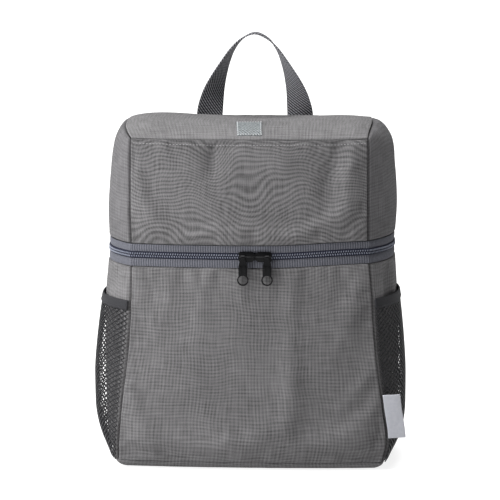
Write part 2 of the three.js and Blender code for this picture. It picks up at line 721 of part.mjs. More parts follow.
// The net cut flat, as convex polygons: a border round a lattice of staggered diamond holes.
function netPolygons(width, height) {
  const lines = (size, steps) => {
    const inner = (size - 2 * NET_MARGIN) / steps;
    return [0, ...Array.from({ length: steps + 1 }, (_, i) => NET_MARGIN + i * inner), size];
  };
  const [xs, ys] = [lines(width, NET_COLUMNS), lines(height, NET_ROWS)];
  const [lastX, lastY] = [xs.length - 1, ys.length - 1];
  const open = (i, j) =>
    i > 1 && i < lastX - 1 && j > 1 && j < lastY - 1 && (i + j) % 2 === 0;
  const polygons = [];
  for (let i = 0; i < lastX; i++) {
    for (let j = 0; j < lastY; j++) {
      const corners = [[i, j], [i + 1, j], [i + 1, j + 1], [i, j + 1]];
      const polygon = corners.flatMap(([a, b], n) => {
        if (!open(a, b)) return [[xs[a], ys[b]]];
        const towards = ([p, q]) => {
          const [dx, dy] = [xs[p] - xs[a], ys[q] - ys[b]];
          const reach = Math.abs(dx + dy) - (dx ? NET_STRAND / 2 : NET_STRAND * 0.7);
          return [xs[a] + Math.sign(dx) * reach, ys[b] + Math.sign(dy) * reach];
        };
        return [towards(corners[(n + 3) % 4]), towards(corners[(n + 1) % 4])];
      });
      polygons.push(polygon);
    }
  }
  return polygons;
}

// A closed plate over flat polygons that share their edges. at(x, y, depth) bends it to place.
function plate(polygons, thickness, at) {
  const places = new Map();
  const number = ([x, y]) => {
    const key = `${x.toFixed(3)} ${y.toFixed(3)}`;
    if (!places.has(key)) places.set(key, { index: places.size, x, y });
    return places.get(key).index;
  };
  const loops = polygons.map((polygon) => polygon.map(number));
  const edges = new Set(
    loops.flatMap((loop) => loop.map((a, n) => `${a} ${loop[(n + 1) % loop.length]}`)),
  );
  const flat = [...places.values()];
  const points = [0, thickness].flatMap((depth) => flat.map(({ x, y }) => at(x, y, depth)));
  const under = flat.length;
  const triangles = [];
  for (const loop of loops) {
    for (let n = 1; n + 1 < loop.length; n++) {
      const [a, b, c] = [loop[0], loop[n], loop[n + 1]];
      triangles.push([a, b, c], [a + under, c + under, b + under]);
    }
    loop.forEach((a, n) => {
      const b = loop[(n + 1) % loop.length];
      if (edges.has(`${b} ${a}`)) return;
      triangles.push([a, a + under, b + under], [a, b + under, b]);
    });
  }
  return closedGeometry(points, triangles);
}

function addPockets() {
  const hemBottom = POCKET_HEIGHT - HEM_HEIGHT;
  const netTop = hemBottom - CLEARANCE;
  const netBottom = BOTTOM_SEAM_HEIGHT + NET_THICKNESS;
  const netHeight = netTop - netBottom;
  const [start, end] = [SIDE_SHARES[0], SIDE_SHARES[SIDE_SHARES.length - 1]];
  const net = netPolygons(BODY_DEPTH, netHeight);
  for (const { side, name } of SIDES) {
    const netAt = (x, y, depth) => {
      const back = lerp(start, end, x / BODY_DEPTH);
      return pocketPoint(side, back, netBottom + y, depth, NET_THICKNESS);
    };
    add(`pocket_net_${name}`, plate(net, NET_THICKNESS, netAt), NET);
    const at = (back, level, depth) => pocketPoint(side, back, level, depth, HEM_THICKNESS);
    add(
      `pocket_hem_${name}`,
      wall(SIDE_SHARES, [hemBottom, POCKET_HEIGHT - 1, POCKET_HEIGHT], HEM_THICKNESS, at),
      WEBBING,
    );
  }
}

// The back panel's face at a place in millimetres.
function backFace(x, height) {
  const up = (height - ZIP_HEIGHT) / (BACK_SEAM_HEIGHT - ZIP_HEIGHT);
  const level = up < 0 ? height : lerp(ZIP_HEIGHT, FRONT_SEAM_HEIGHT, up);
  const plan = section(level);
  return backPoint(((x - plan.middle) / plan.back + 1) / 2, level, 0);
}

// A band of webbing that leaves the back flat and arches over, so that each leg twists a quarter
// turn on its way to the peak.
function addHandle() {
  const half = HANDLE_SPACING / 2;
  const low = BACK_SEAM_HEIGHT - HANDLE_TAIL;
  const inner = HANDLE_ACROSS + half - HANDLE_WIDTH / 2;
  const y = backFace(inner, low).y + CLEARANCE + WEBBING_THICKNESS / 2;
  const leg = HANDLE_ARCH.map(({ across, up }) => {
    return [across * half, BACK_SEAM_HEIGHT + up * HANDLE_RISE];
  });
  const tail = [half, low];
  const right = [tail, ...leg].reverse().slice(1);
  const left = [tail, ...leg].map(([x, z]) => [-x, z]);
  const curve = new THREE.CatmullRomCurve3(
    [...left, ...right].map(([x, z]) => new THREE.Vector3(HANDLE_ACROSS + x, y, z)),
    false,
    "centripetal",
  );
  const tailShare = HANDLE_TAIL / curve.getLength();
  const wideAt = (share, tangent) => {
    const way = clamp((Math.min(share, 1 - share) - tailShare) / (0.5 - tailShare), 0, 1);
    const twist = (Math.PI / 2) * (1 - (1 - way) ** 2);
    const inward = new THREE.Vector3(tangent.z, 0, -tangent.x);
    return inward.multiplyScalar(Math.cos(twist)).addScaledVector(Y, Math.sin(twist));
  };
  const size = { width: HANDLE_WIDTH, thickness: WEBBING_THICKNESS };
  add("carry_handle", band(curve, 48, wideAt, () => size), WEBBING);
}

// A thin piece that lies on the lid's top, near its front seam.
function addPatch() {
  const width = 2 * section(FRONT_SEAM_HEIGHT).front;
  const depth = 2 * section(FRONT_SEAM_HEIGHT).deep;
  const middle = 0.5 + PATCH_ACROSS / width;
  const half = PATCH_WIDTH / width / 2;
  const start = PATCH_SETBACK / depth;
  const end = start + PATCH_LENGTH / depth;
  const steps = (low, high, count) =>
    Array.from({ length: count + 1 }, (_, i) => lerp(low, high, i / count));
  const at = (across, back, under) => {
    const point = topSurface(across, back, 0);
    const ahead = topSurface(across, back + 0.01, 0).sub(point);
    const beside = topSurface(across + 0.01, back, 0).sub(point);
    const out = beside.cross(ahead).normalize();
    return point.addScaledVector(out, CLEARANCE + PATCH_THICKNESS - under);
  };
  const geometry = wall(
    steps(middle - half, middle + half, 3), steps(start, end, 5), PATCH_THICKNESS, at,
  );
  add("top_patch", geometry, PATCH);
}

// A folded label that stands out of the right front seam.
function addLabel() {
  const at = (out, level, depth) => {
    const seam = frontPoint(1, level, 0);
    const curl = 1.5 * out * out;
    return new THREE.Vector3(
      seam.x + CLEARANCE + out * LABEL_WIDTH,
      seam.y - CLEARANCE - LABEL_THICKNESS + depth + out * LABEL_WIDTH * LABEL_TURN + curl,
      seam.z,
    );
  };
  const heights = [0, 0.25, 0.5, 0.75, 1].map((up) => LABEL_BOTTOM + up * LABEL_LENGTH);
  add("side_label", wall([0, 0.33, 0.67, 1], heights, LABEL_THICKNESS, at), LABEL);
}

// A smooth line through points.
function smoothLine(points) {
  return new THREE.CatmullRomCurve3(points, false, "centripetal");
}

// The middle line of a strap, from its upper end down to its lower one.
function strapCurve(side) {
  const rows = STRAP_PATH.map(({ down, out, across }) => {
    const x = STRAP_ACROSS + across * STRAP_SPLAY;
    const height = STRAP_TOP - down * STRAP_DROP;
    const skin = backFace(x - STRAP_WIDTH / 2, height).y;
    const lift = CLEARANCE + STRAP_THICKNESS / 2 + out * STRAP_STANDOFF;
    return new THREE.Vector3(side * x, skin + lift, height);
  });
  return smoothLine(rows);
}

// Across a strap and level with the back: the direction of its width.
function levelAcross(share, tangent) {
  return new THREE.Vector3().crossVectors(tangent, Y).normalize();
}

// Where the middle of a strap's lower end is, and which way the strap runs there: along runs on
// down the strap, and out points off the back.
function lockFrame(side) {
  const curve = strapCurve(side);
  const along = curve.getTangentAt(1);
  const across = levelAcross(1, along);
  const out = new THREE.Vector3().crossVectors(across, along).normalize();
  if (out.y < 0) out.negate();
  const gap = LOOP_REACH;
  const origin = curve.getPointAt(1).addScaledVector(along, gap);
  return { origin, along, across: new THREE.Vector3().crossVectors(along, out), out };
}

const LOOP_OUT = LOCK_THICKNESS / 2 + CLEARANCE + WEBBING_THICKNESS / 2; // webbing over a bar
const LOOP_REACH = LOCK_BAR + 2 * CLEARANCE; // strap's end to the lock's first slot
const LOCK_LENGTH = 3 * LOCK_SLOT + 4 * LOCK_BAR;

// A point in that frame, down the strap and off its middle plane.
function inFrame(frame, down, out, across = 0) {
  return frame.origin
    .clone()
    .addScaledVector(frame.along, down)
    .addScaledVector(frame.out, out)
    .addScaledVector(frame.across, across);
}

// A ladder lock: a plate with three slots, the first around the loop on the strap.
function lockGeometry(frame) {
  const [half, cut] = [LOCK_WIDTH / 2, LOCK_BAR / 2];
  const [top, bottom] = [-LOCK_BAR, LOCK_LENGTH - LOCK_BAR];
  const shape = new THREE.Shape();
  shape.moveTo(cut - half, top).lineTo(half - cut, top).lineTo(half, top + cut);
  shape.lineTo(half, bottom - cut).lineTo(half - cut, bottom).lineTo(cut - half, bottom);
  shape.lineTo(-half, bottom - cut).lineTo(-half, top + cut);
  const slotHalf = WEBBING_WIDTH / 2 + 1;
  for (let slot = 0; slot < 3; slot++) {
    const y = slot * (LOCK_SLOT + LOCK_BAR);
    const hole = new THREE.Path();
    hole.moveTo(-slotHalf, y).lineTo(-slotHalf, y + LOCK_SLOT);
    hole.lineTo(slotHalf, y + LOCK_SLOT).lineTo(slotHalf, y);
    shape.holes.push(hole);
  }
  const geometry = new THREE.ExtrudeGeometry(shape, { depth: LOCK_THICKNESS, bevelEnabled: false });
  geometry.translate(0, 0, -LOCK_THICKNESS / 2);
  const basis = new THREE.Matrix4().makeBasis(frame.across, frame.along, frame.out);
  return geometry.applyMatrix4(basis.setPosition(frame.origin));
}

function addStraps() {
  const webbing = { width: WEBBING_WIDTH, thickness: WEBBING_THICKNESS };
  for (const { side, name } of SIDES) {
    const curve = strapCurve(side);
    const tipShare = (LOOP_OVERLAP + 2) / curve.getLength();
    const size = (share) => {
      const tip = clamp((share - 1 + tipShare * 2) / tipShare, 0, 1);
      const top = clamp(1 - share / tipShare, 0, 1);
      const flat = lerp(STRAP_THICKNESS, STRAP_TIP_THICKNESS, tip);
      return {
        width: lerp(STRAP_WIDTH, STRAP_TIP_WIDTH, tip ** 2),
        thickness: lerp(flat, STRAP_THICKNESS * 0.6, top),
      };
    };
    add(`shoulder_strap_${name}`, band(curve, 22, levelAcross, size, STRAP_EDGE), CLOTH);

    const frame = lockFrame(side);
    add(`ladder_lock_${name}`, lockGeometry(frame), BLACK_PLASTIC);

    const acrossAt = () => frame.across.clone();
    const turn = LOCK_BAR / 2 + CLEARANCE + WEBBING_THICKNESS / 2;
    const loopTop = -LOOP_REACH - LOOP_OVERLAP;
    const loopPath = [
      [loopTop, LOOP_OUT],
      [-LOCK_BAR, LOOP_OUT],
      [turn - LOCK_BAR / 2, LOOP_OUT * 0.8],
      [turn - LOCK_BAR / 2 + 0.9, 0],
      [turn - LOCK_BAR / 2, -LOOP_OUT * 0.8],
      [-LOCK_BAR, -LOOP_OUT],
      [loopTop, -LOOP_OUT],
    ];
    const loop = smoothLine(loopPath.map(([down, out]) => inFrame(frame, down, out)));
    add(`strap_loop_${name}`, band(loop, 20, acrossAt, () => webbing), WEBBING);

    const pitch = LOCK_SLOT + LOCK_BAR;
    const woven = [
      [pitch - LOCK_BAR, -LOOP_OUT - 1],
      [pitch + LOCK_SLOT * 0.4, -LOOP_OUT * 0.6],
      [2 * pitch - LOCK_BAR * 1.1, LOOP_OUT],
      [2 * pitch + LOCK_BAR * 0.1, LOOP_OUT],
      [2 * pitch + LOCK_SLOT * 0.55, 0],
      [3 * pitch - LOCK_BAR, -LOOP_OUT],
      [3 * pitch + LOCK_SLOT * 0.65, -LOOP_OUT - 0.5],
    ].map(([down, out]) => inFrame(frame, down, out));
    const anchor = (height) => {
      const skin = backFace(ANCHOR_ACROSS - WEBBING_WIDTH / 2, height).y;
      const y = skin + CLEARANCE + WEBBING_THICKNESS / 2;
      return new THREE.Vector3(side * ANCHOR_ACROSS, y, height);
    };
    const sewn = [ANCHOR_HEIGHT + ANCHOR_LENGTH / 2, ANCHOR_HEIGHT - ANCHOR_LENGTH / 2].map(anchor);
    const tail = smoothLine([...woven, ...sewn]);
    const wideAt = (share, tangent) => levelAcross(share, tangent);
    add(`strap_webbing_${name}`, band(tail, 44, wideAt, () => webbing), WEBBING);
  }
}

addFrontPanels();
addSidePanels();
addBackPanel();
addTopAndBottom();
addZipTapes();
addZipTeeth();
addSliders();
addPockets();
addHandle();
addPatch();
addLabel();
addStraps();

export default backpack;
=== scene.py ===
# %% [markdown]
# # A cooler backpack of grey polyester
#
# The bag is a box of padded cloth that stands on its own base. A zip runs round three sides and
# lets the top third swing back as a lid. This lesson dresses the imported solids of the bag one
# piece at a time: cloth panels, zip, net pockets, carry handle, straps, and the small parts.

import math

import bmesh
import bpy
import numpy as np
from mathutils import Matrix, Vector


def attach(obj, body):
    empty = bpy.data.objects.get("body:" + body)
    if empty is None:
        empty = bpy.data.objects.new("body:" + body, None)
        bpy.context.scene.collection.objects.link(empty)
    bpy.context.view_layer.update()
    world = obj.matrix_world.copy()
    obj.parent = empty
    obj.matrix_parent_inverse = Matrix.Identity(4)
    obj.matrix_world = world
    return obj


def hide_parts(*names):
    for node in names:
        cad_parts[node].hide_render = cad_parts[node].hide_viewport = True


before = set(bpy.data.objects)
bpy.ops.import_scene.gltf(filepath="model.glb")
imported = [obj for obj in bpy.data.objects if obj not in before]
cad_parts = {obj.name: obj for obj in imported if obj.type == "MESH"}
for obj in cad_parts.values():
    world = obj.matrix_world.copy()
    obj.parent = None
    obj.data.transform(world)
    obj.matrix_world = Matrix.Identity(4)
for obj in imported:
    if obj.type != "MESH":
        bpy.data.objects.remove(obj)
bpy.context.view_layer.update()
MM = 0.001

# %% Putting a thing in the scene


def linked(name, data):
    """A new object of that data, linked to the scene."""
    thing = bpy.data.objects.new(name, data)
    bpy.context.scene.collection.objects.link(thing)
    return thing


# %% [markdown]
# ## Camera, floor and light
#
# A shop photographs a bag with a long lens from a little above its middle, on a white sweep. The
# camera could be placed by eye, but a target point, a distance and two angles are easier to
# measure and to change. The light is soft from overhead, with a key from the left and
# a weak sky, so the top is brightest and the right side falls away.

# %% Camera
TARGET = Vector((-0.005, 0, 0.1976))
CAMERA_DISTANCE = 2.6
CAMERA_AZIMUTH = 3  # degrees to the right of straight on
CAMERA_ELEVATION = 7.5
CAMERA_LENS_MM = 197.05


def aimed(name, data, azimuth, elevation, distance):
    """A camera or a lamp that looks at the target from a direction in degrees."""
    thing = linked(name, data)
    turn, rise = math.radians(azimuth), math.radians(elevation)
    thing.location = TARGET + distance * Vector(
        (math.sin(turn) * math.cos(rise), -math.cos(turn) * math.cos(rise), math.sin(rise))
    )
    thing.rotation_euler = (TARGET - thing.location).to_track_quat("-Z", "Y").to_euler()
    return thing


camera_data = bpy.data.cameras.new("camera")
camera_data.lens = CAMERA_LENS_MM
camera_data.sensor_width = 36
camera_data.clip_end = 100
camera = aimed("camera", camera_data, CAMERA_AZIMUTH, CAMERA_ELEVATION, CAMERA_DISTANCE)
bpy.context.scene.camera = camera
bpy.context.scene.view_settings.view_transform = "Standard"
print("camera at", [round(value, 3) for value in camera.location])

# %% Floor
FLOOR_SIZE = 60.0
FLOOR_GREY = 0.25
FLOOR_GLOW = 0.85  # the sweep is lit from below too, so the bag throws almost no shadow

sweep = bpy.data.materials.new("studio_floor")
sweep.use_nodes = True
sweep_sockets = sweep.node_tree.nodes["Principled BSDF"].inputs
sweep_sockets["Base Color"].default_value = (FLOOR_GREY, FLOOR_GREY, FLOOR_GREY, 1)
sweep_sockets["Roughness"].default_value = 0.9
sweep_sockets["Emission Color"].default_value = (1, 1, 1, 1)
sweep_sockets["Emission Strength"].default_value = FLOOR_GLOW

half = FLOOR_SIZE / 2
floor_mesh = bpy.data.meshes.new("floor")
floor_mesh.from_pydata(
    [(-half, -half, 0), (half, -half, 0), (half, half, 0), (-half, half, 0)], [], [(0, 1, 2, 3)]
)
floor_mesh.materials.append(sweep)
floor = linked("floor", floor_mesh)

# %% Light
OVERHEAD_POWER = 7.2
OVERHEAD_SPREAD = 50  # degrees of the sky that the overhead light fills
KEY_POWER = 9.2
KEY_SIZE = 0.5
SKY_STRENGTH = 0.07


def light(name, kind, power):
    """The settings of a lamp, with its power."""
    data = bpy.data.lights.new(name, kind)
    data.energy = power
    return data


overhead = light("overhead", "SUN", OVERHEAD_POWER)
overhead.angle = math.radians(OVERHEAD_SPREAD)
aimed("overhead", overhead, azimuth=-60, elevation=79, distance=3)
key = light("key", "AREA", KEY_POWER)
key.size = KEY_SIZE
aimed("key", key, azimuth=-55, elevation=8, distance=0.72).visible_camera = False

world = bpy.data.worlds.new("studio")
world.use_nodes = True
sky_sockets = world.node_tree.nodes["Background"].inputs
sky_sockets["Color"].default_value = (1, 1, 1, 1)
sky_sockets["Strength"].default_value = SKY_STRENGTH
bpy.context.scene.world = world

# %% [markdown]
# ## The plan of the body
#
# A sewn bag has no straight edge: it is narrow at the zip, wide at the base, and every panel
# swells between its seams. Its plan is a table of widths and swells at ten heights, and a smooth
# curve runs through each column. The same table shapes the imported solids, so a panel drawn from
# it lies where its solid lies, and it can be drawn as finely as the cloth needs.

# %% Sizes of the body, in millimetres
BODY_HEIGHT = 326
FRONT_SEAM_HEIGHT = 310.5
BACK_SEAM_HEIGHT = 320
FRONT_SEAM_ARCH = -1
LEFT_SEAM_ARCH = 4.5
BACK_SEAM_ARCH = 1
CORNER_RISE = 5.5
BOTTOM_SEAM_HEIGHT = 7
BOTTOM_RIM = 15
FRONT_WIDTH = 222
BACK_WIDTH = 236
BODY_DEPTH = 144
FRONT_BOW = 13
SIDE_BOW = 22
BACK_BOW = 7
LEAN = 2.5
DENT_DEPTH = 5
WALL = 4
SEAM_GAP = 0.4
CLEARANCE = 0.3
ZIP_HEIGHT = 202
ZIP_LIFT = 4
TEETH_HEIGHT = 6.4
UPPER_TAPE_HEIGHT = 6.5
LOWER_TAPE_HEIGHT = 7.2
TAPE_THICKNESS = 1.2
TAPE_RECESS = 1
LOWER_EDGE = ZIP_HEIGHT - TEETH_HEIGHT / 2 - LOWER_TAPE_HEIGHT
UPPER_EDGE = ZIP_HEIGHT + TEETH_HEIGHT / 2 + UPPER_TAPE_HEIGHT

SECTIONS = {
    "at": [0.02, 0.09, 0.2, 0.37, 0.52, 0.65, 0.77, 0.88, 0.95, 1],
    "front": [1.125, 1.14, 1.105, 1.046, 1.018, 1, 1, 1, 1, 1],
    "back": [1.04, 1.06, 1.045, 1.025, 1.01, 1, 1, 1, 0.99, 0.96],
    "deep": [0.95, 0.99, 1, 1, 0.99, 0.97, 0.98, 0.97, 0.95, 0.92],
    "front_bow": [0.6, 0.95, 1.1, 1.1, 1, 0.82, 1, 0.85, 0.6, 0.3],
    "left_bow": [0.42, 0.66, 0.86, 1.08, 1.16, 1.02, 1, 0.84, 0.64, 0.4],
    "right_bow": [0.2, 0.38, 0.62, 0.8, 0.84, 0.88, 1, 0.9, 0.74, 0.12],
    "back_bow": [0.2, 0.7, 1, 1, 0.9, 0.7, 0.9, 0.8, 0.5, 0.2],
    "lean": [0.7, -0.3, -0.1, 0, 0.1, 0.7, 1, 1, 1, 1],
}

# %% Curves through the table


def lerp(a, b, share):
    return a + (b - a) * share


def bow(share, power=2.4):
    """0 at both ends of 0 to 1 and 1 in the middle; a higher power gives a flatter middle."""
    return 1 - np.abs(2 * np.asarray(share, float) - 1) ** power


def eased(share):
    """From 0 to 1 with a slow start and a slow end."""
    return share * share * (3 - 2 * share)


def smoothstep(value, low, high):
    return eased(np.clip((np.asarray(value, float) - low) / (high - low), 0, 1))


def between_rows(values, slopes, after, width, share):
    """A smooth curve from one row of values to the row after it, with the slopes of both."""
    leave = share * (1 - share) ** 2 * width * slopes[after - 1]
    arrive = share * share * (share - 1) * width * slopes[after]
    return lerp(values[after - 1], values[after], eased(share)) + leave + arrive


def along(column, level):
    """A column of the table at any level, on a smooth curve through its rows."""
    keys = np.array(SECTIONS["at"])
    values = np.array(SECTIONS[column], float)
    place = np.asarray(level, float) / FRONT_SEAM_HEIGHT
    last = len(keys) - 1
    after = np.clip(np.searchsorted(keys, place, side="right"), 1, last)
    rows = np.arange(last + 1)
    low, high = np.maximum(rows - 1, 0), np.minimum(rows + 1, last)
    slopes = (values[high] - values[low]) / (keys[high] - keys[low])
    width = keys[after] - keys[after - 1]
    share = np.clip((place - keys[after - 1]) / width, 0, 1)
    return between_rows(values, slopes, after, width, share)


def section(level):
    """The plan of the body at a level, which is a height on the front seams."""
    return {
        "front": along("front", level) * FRONT_WIDTH / 2,
        "back": along("back", level) * BACK_WIDTH / 2,
        "deep": along("deep", level) * BODY_DEPTH / 2,
        "front_bow": along("front_bow", level) * FRONT_BOW,
        "left_bow": along("left_bow", level) * SIDE_BOW,
        "right_bow": along("right_bow", level) * SIDE_BOW,
        "back_bow": along("back_bow", level) * BACK_BOW,
        "middle": -along("lean", level) * LEAN,
    }


def height_at(level, top, depth, lift):
    """The real height of a level where the top seam is that high and the zip is lifted."""
    level = np.asarray(level, float)
    teeth = ZIP_HEIGHT + lift
    lower = (level - BOTTOM_SEAM_HEIGHT) / (ZIP_HEIGHT - BOTTOM_SEAM_HEIGHT)
    upper = (level - ZIP_HEIGHT) / (FRONT_SEAM_HEIGHT - ZIP_HEIGHT)
    return np.where(
        level <= ZIP_HEIGHT,
        lerp(BOTTOM_SEAM_HEIGHT + depth, teeth, lower),
        lerp(teeth, top - depth, upper),
    )


def lift_at(across):
    """How much higher the zip lies there than at the left front corner."""
    return ZIP_LIFT * smoothstep(across, 0.55, 1)


def stacked(x, y, z):
    """Points from their coordinates, which may be grids or single numbers."""
    return np.stack(np.broadcast_arrays(x, y, z), axis=-1).astype(float)


def front_point(across, level, depth=0.0):
    plan = section(level)
    top = FRONT_SEAM_HEIGHT + FRONT_SEAM_ARCH * bow(across, 5)
    return stacked(
        plan["middle"] + (2 * across - 1) * (plan["front"] - depth),
        depth - plan["deep"] - plan["front_bow"] * bow(across),
        height_at(level, top, depth, lift_at(across)),
    )


def back_point(across, level, depth=0.0):
    plan = section(level)
    top = BACK_SEAM_HEIGHT + BACK_SEAM_ARCH * bow(across)
    return stacked(
        plan["middle"] + (2 * across - 1) * (plan["back"] - depth),
        plan["deep"] - depth + plan["back_bow"] * bow(across),
        height_at(level, top, depth, lift_at(across)),
    )


def side_point(side, back, level, depth=0.0):
    """side is -1 for the left and 1 for the right; back runs from the front seam to the back.

    The right side's top seam climbs at its front corner and comes down again by the back."""
    plan = section(level)
    back = np.asarray(back, float)
    climb = (1 - (1 - back) ** 14) * (1 - smoothstep(back, 0.3, 1))
    arch = LEFT_SEAM_ARCH * bow(back) if side < 0 else CORNER_RISE * climb
    top = lerp(FRONT_SEAM_HEIGHT, BACK_SEAM_HEIGHT, back) + arch
    swell = plan["left_bow"] if side < 0 else plan["right_bow"]
    wide = lerp(plan["front"], plan["back"], back) - depth + swell * bow(back)
    return stacked(
        plan["middle"] + side * wide,
        (2 * back - 1) * (plan["deep"] - depth),
        height_at(level, top, depth, lift_at(0.0 if side < 0 else 1.0)),
    )


def four_edged(across, back, level, depth):
    """A patch between the top or bottom edges of the front, the back and the two sides."""
    shape = np.broadcast(across, back, depth).shape
    u = np.broadcast_to(across, shape)[..., None]
    v = np.broadcast_to(back, shape)[..., None]
    fore_and_aft = lerp(front_point(across, level, depth), back_point(across, level, depth), v)
    side_to_side = lerp(side_point(-1, back, level, depth), side_point(1, back, level, depth), u)
    corner = {
        (side, end): side_point(side, float(end), level, depth)
        for side in (-1, 1)
        for end in (0, 1)
    }
    low = lerp(corner[-1, 0], corner[1, 0], u)
    high = lerp(corner[-1, 1], corner[1, 1], u)
    return fore_and_aft + side_to_side - lerp(low, high, v)


CROWN = BODY_HEIGHT - four_edged(0.5, 0.5, FRONT_SEAM_HEIGHT, 0.0)[2]


def top_point(across, back, depth=0.0):
    point = four_edged(across, back, FRONT_SEAM_HEIGHT, depth)
    point[..., 2] += CROWN * bow(across, 7) * bow(back, 4)
    return point


def bottom_point(across, back, depth=0.0):
    point = four_edged(across, back, BOTTOM_SEAM_HEIGHT, depth)
    plan = section(BOTTOM_SEAM_HEIGHT)
    from_side = np.minimum(across, 1 - across) * 2 * plan["front"]
    from_end = np.minimum(back, 1 - back) * 2 * plan["deep"]
    inward = np.clip(np.minimum(from_side, from_end) / BOTTOM_RIM, 0, 1)
    point[..., 2] = BOTTOM_SEAM_HEIGHT * (1 - inward) ** 2 + depth
    return point


print("crown of the lid:", round(float(CROWN), 2), "mm over its seams")

# %% [markdown]
# ## Cloth finish
#
# The body is a plain weave of grey yarn. Yarns in the cloth are about half a millimetre wide, so
# from two metres off they show as a fine grid that shimmers where the cloth curves. A picture of
# cloth could be wrapped round the bag, but here the weave is made from sine waves on each
# panel's own UV map, which is in metres, so one period is right on every panel. Noise that is
# stretched along the warp or the weft makes some yarns lighter than their neighbours. Two sets
# of fine bars, which noise bends a little, stand for the shimmer.

# %% Building a material's tree


class Tree:
    """Adds nodes to a material, wired as they are made."""

    def __init__(self, name):
        self.material = bpy.data.materials.new(name)
        self.material.use_nodes = True
        self.nodes = self.material.node_tree.nodes
        self.links = self.material.node_tree.links
        self.shader = self.nodes["Principled BSDF"]

    def plug(self, socket, value):
        if isinstance(value, bpy.types.NodeSocket):
            self.links.new(value, socket)
        else:
            socket.default_value = value

    def math(self, operation, *values):
        node = self.nodes.new("ShaderNodeMath")
        node.operation = operation
        for socket, value in zip(node.inputs, values):
            self.plug(socket, value)
        return node.outputs[0]

    def place(self, uv_map=None):
        """The x, y and z of the pattern: a UV map in metres, or Object coordinates."""
        if uv_map:
            source = self.nodes.new("ShaderNodeUVMap")
            source.uv_map = uv_map
            self.vector = source.outputs[0]
        else:
            source = self.nodes.new("ShaderNodeTexCoord")
            self.vector = source.outputs["Object"]
        split = self.nodes.new("ShaderNodeSeparateXYZ")
        self.links.new(self.vector, split.inputs[0])
        return split.outputs

    def noise(self, scale, detail=2.0, stretch=(1, 1, 1)):
        """Noise from 0 to 1 with that many cells per metre, stretched along an axis."""
        mapping = self.nodes.new("ShaderNodeMapping")
        self.links.new(self.vector, mapping.inputs["Vector"])
        mapping.inputs["Scale"].default_value = stretch
        node = self.nodes.new("ShaderNodeTexNoise")
        self.links.new(mapping.outputs[0], node.inputs["Vector"])
        node.inputs["Scale"].default_value = scale
        node.inputs["Detail"].default_value = detail
        return node.outputs["Fac"]

    def colour(self, share, dark, light):
        """Blends the base colour from dark, where share is 0, to light, where it is 1."""
        node = self.nodes.new("ShaderNodeMix")
        node.data_type = "RGBA"
        self.plug(node.inputs["Factor"], share)
        self.plug(node.inputs["A"], (*dark, 1))
        self.plug(node.inputs["B"], (*light, 1))
        self.links.new(node.outputs["Result"], self.shader.inputs["Base Color"])

    def bump(self, height, distance, strength=1.0):
        node = self.nodes.new("ShaderNodeBump")
        self.links.new(height, node.inputs["Height"])
        node.inputs["Distance"].default_value = distance
        node.inputs["Strength"].default_value = strength
        self.links.new(node.outputs[0], self.shader.inputs["Normal"])

    def set(self, **values):
        """Sets the shader's own sockets, with _ for a space in a name."""
        for name, value in values.items():
            self.shader.inputs[name.replace("_", " ")].default_value = value


def waves(tree, value, period):
    """A sine of that period, in metres."""
    return tree.math("SINE", tree.math("MULTIPLY", value, 2 * math.pi / period))


def sum_of(tree, *terms, base=None):
    """Adds (value, weight) pairs, and then the base value if there is one."""
    total = 0.0
    for value, weight in terms:
        total = tree.math("MULTIPLY_ADD", value, weight, total)
    return total if base is None else tree.math("ADD", total, base)


# %% Weave
YARN_PERIOD = 0.00095  # one yarn over and one under
ALONG_WARP, ALONG_WEFT = (1.0, 0.08, 1.0), (0.08, 1.0, 1.0)
YARN_NOISE = 0.26  # how much lighter or darker single yarns are


def woven(name, dark, light, bars=(0.0030, 0.0032), weights=(0.09, 0.08), drift=0.005):
    """Plain weave: yarns cross over and under, and lie in fine bars that drift like wood grain.

    bars and weights are the period in metres and the strength of the upright and level bars.
    drift is how far noise bends the upright bars, in metres; it bends the level ones more."""
    tree = Tree(name)
    u, v, _ = tree.place("weave")
    warp, weft = waves(tree, u, YARN_PERIOD), waves(tree, v, YARN_PERIOD)
    over = tree.math("MULTIPLY", warp, weft)
    sway = sum_of(tree, (tree.noise(14, 1, (1, 1.4, 1)), 2 * drift), (u, 1.0))
    wander = sum_of(tree, (tree.noise(11, 1, (1.3, 0.8, 1)), 4 * drift), (v, 1.0))
    upright, level = waves(tree, sway, bars[0]), waves(tree, wander, bars[1])
    patchy = tree.math("MULTIPLY_ADD", tree.noise(30, 1), 1.6, 0.2)
    share = sum_of(
        tree,
        (over, 0.2),
        (tree.math("MULTIPLY", upright, patchy), weights[0]),
        (level, weights[1]),
        (tree.noise(600, 0, ALONG_WARP), YARN_NOISE),
        (tree.noise(600, 0, ALONG_WEFT), YARN_NOISE),
        (tree.noise(18, 2), 0.3),
        base=0.085,
    )
    tree.colour(share, dark, light)
    height = tree.math("ADD", tree.math("ABSOLUTE", warp), tree.math("ABSOLUTE", weft))
    tree.bump(tree.math("ADD", height, tree.math("MULTIPLY", over, 0.5)), 0.0002, 0.6)
    tree.set(Roughness=0.9, Specular_IOR_Level=0.12, Sheen_Weight=0.03, Sheen_Roughness=0.5)
    return tree.material


CLOTH_DARK, CLOTH_LIGHT = (0.01, 0.0098, 0.01), (0.166, 0.162, 0.166)
cloth = woven("grey_cloth", CLOTH_DARK, CLOTH_LIGHT)
lid_cloth = woven("lid_cloth", CLOTH_DARK, CLOTH_LIGHT, (0.0026, 0.0042), (0.06, 0.15), 0.026)
# painted shade: the lid sides are the same cloth as the body, given a darker light colour so that
# they read as shaded
side_cloth = woven("side_cloth", CLOTH_DARK, (0.15, 0.146, 0.152), weights=(0.04, 0.06))
# painted light: the top is the same cloth as the body, given a lighter light colour so that it reads
# as lit from overhead
top_cloth = woven("top_cloth_painted_light", CLOTH_DARK, (0.225, 0.22, 0.224), weights=(0.05, 0.02))
lining = woven("lining_cloth", (0.08, 0.08, 0.09), (0.2, 0.2, 0.21))

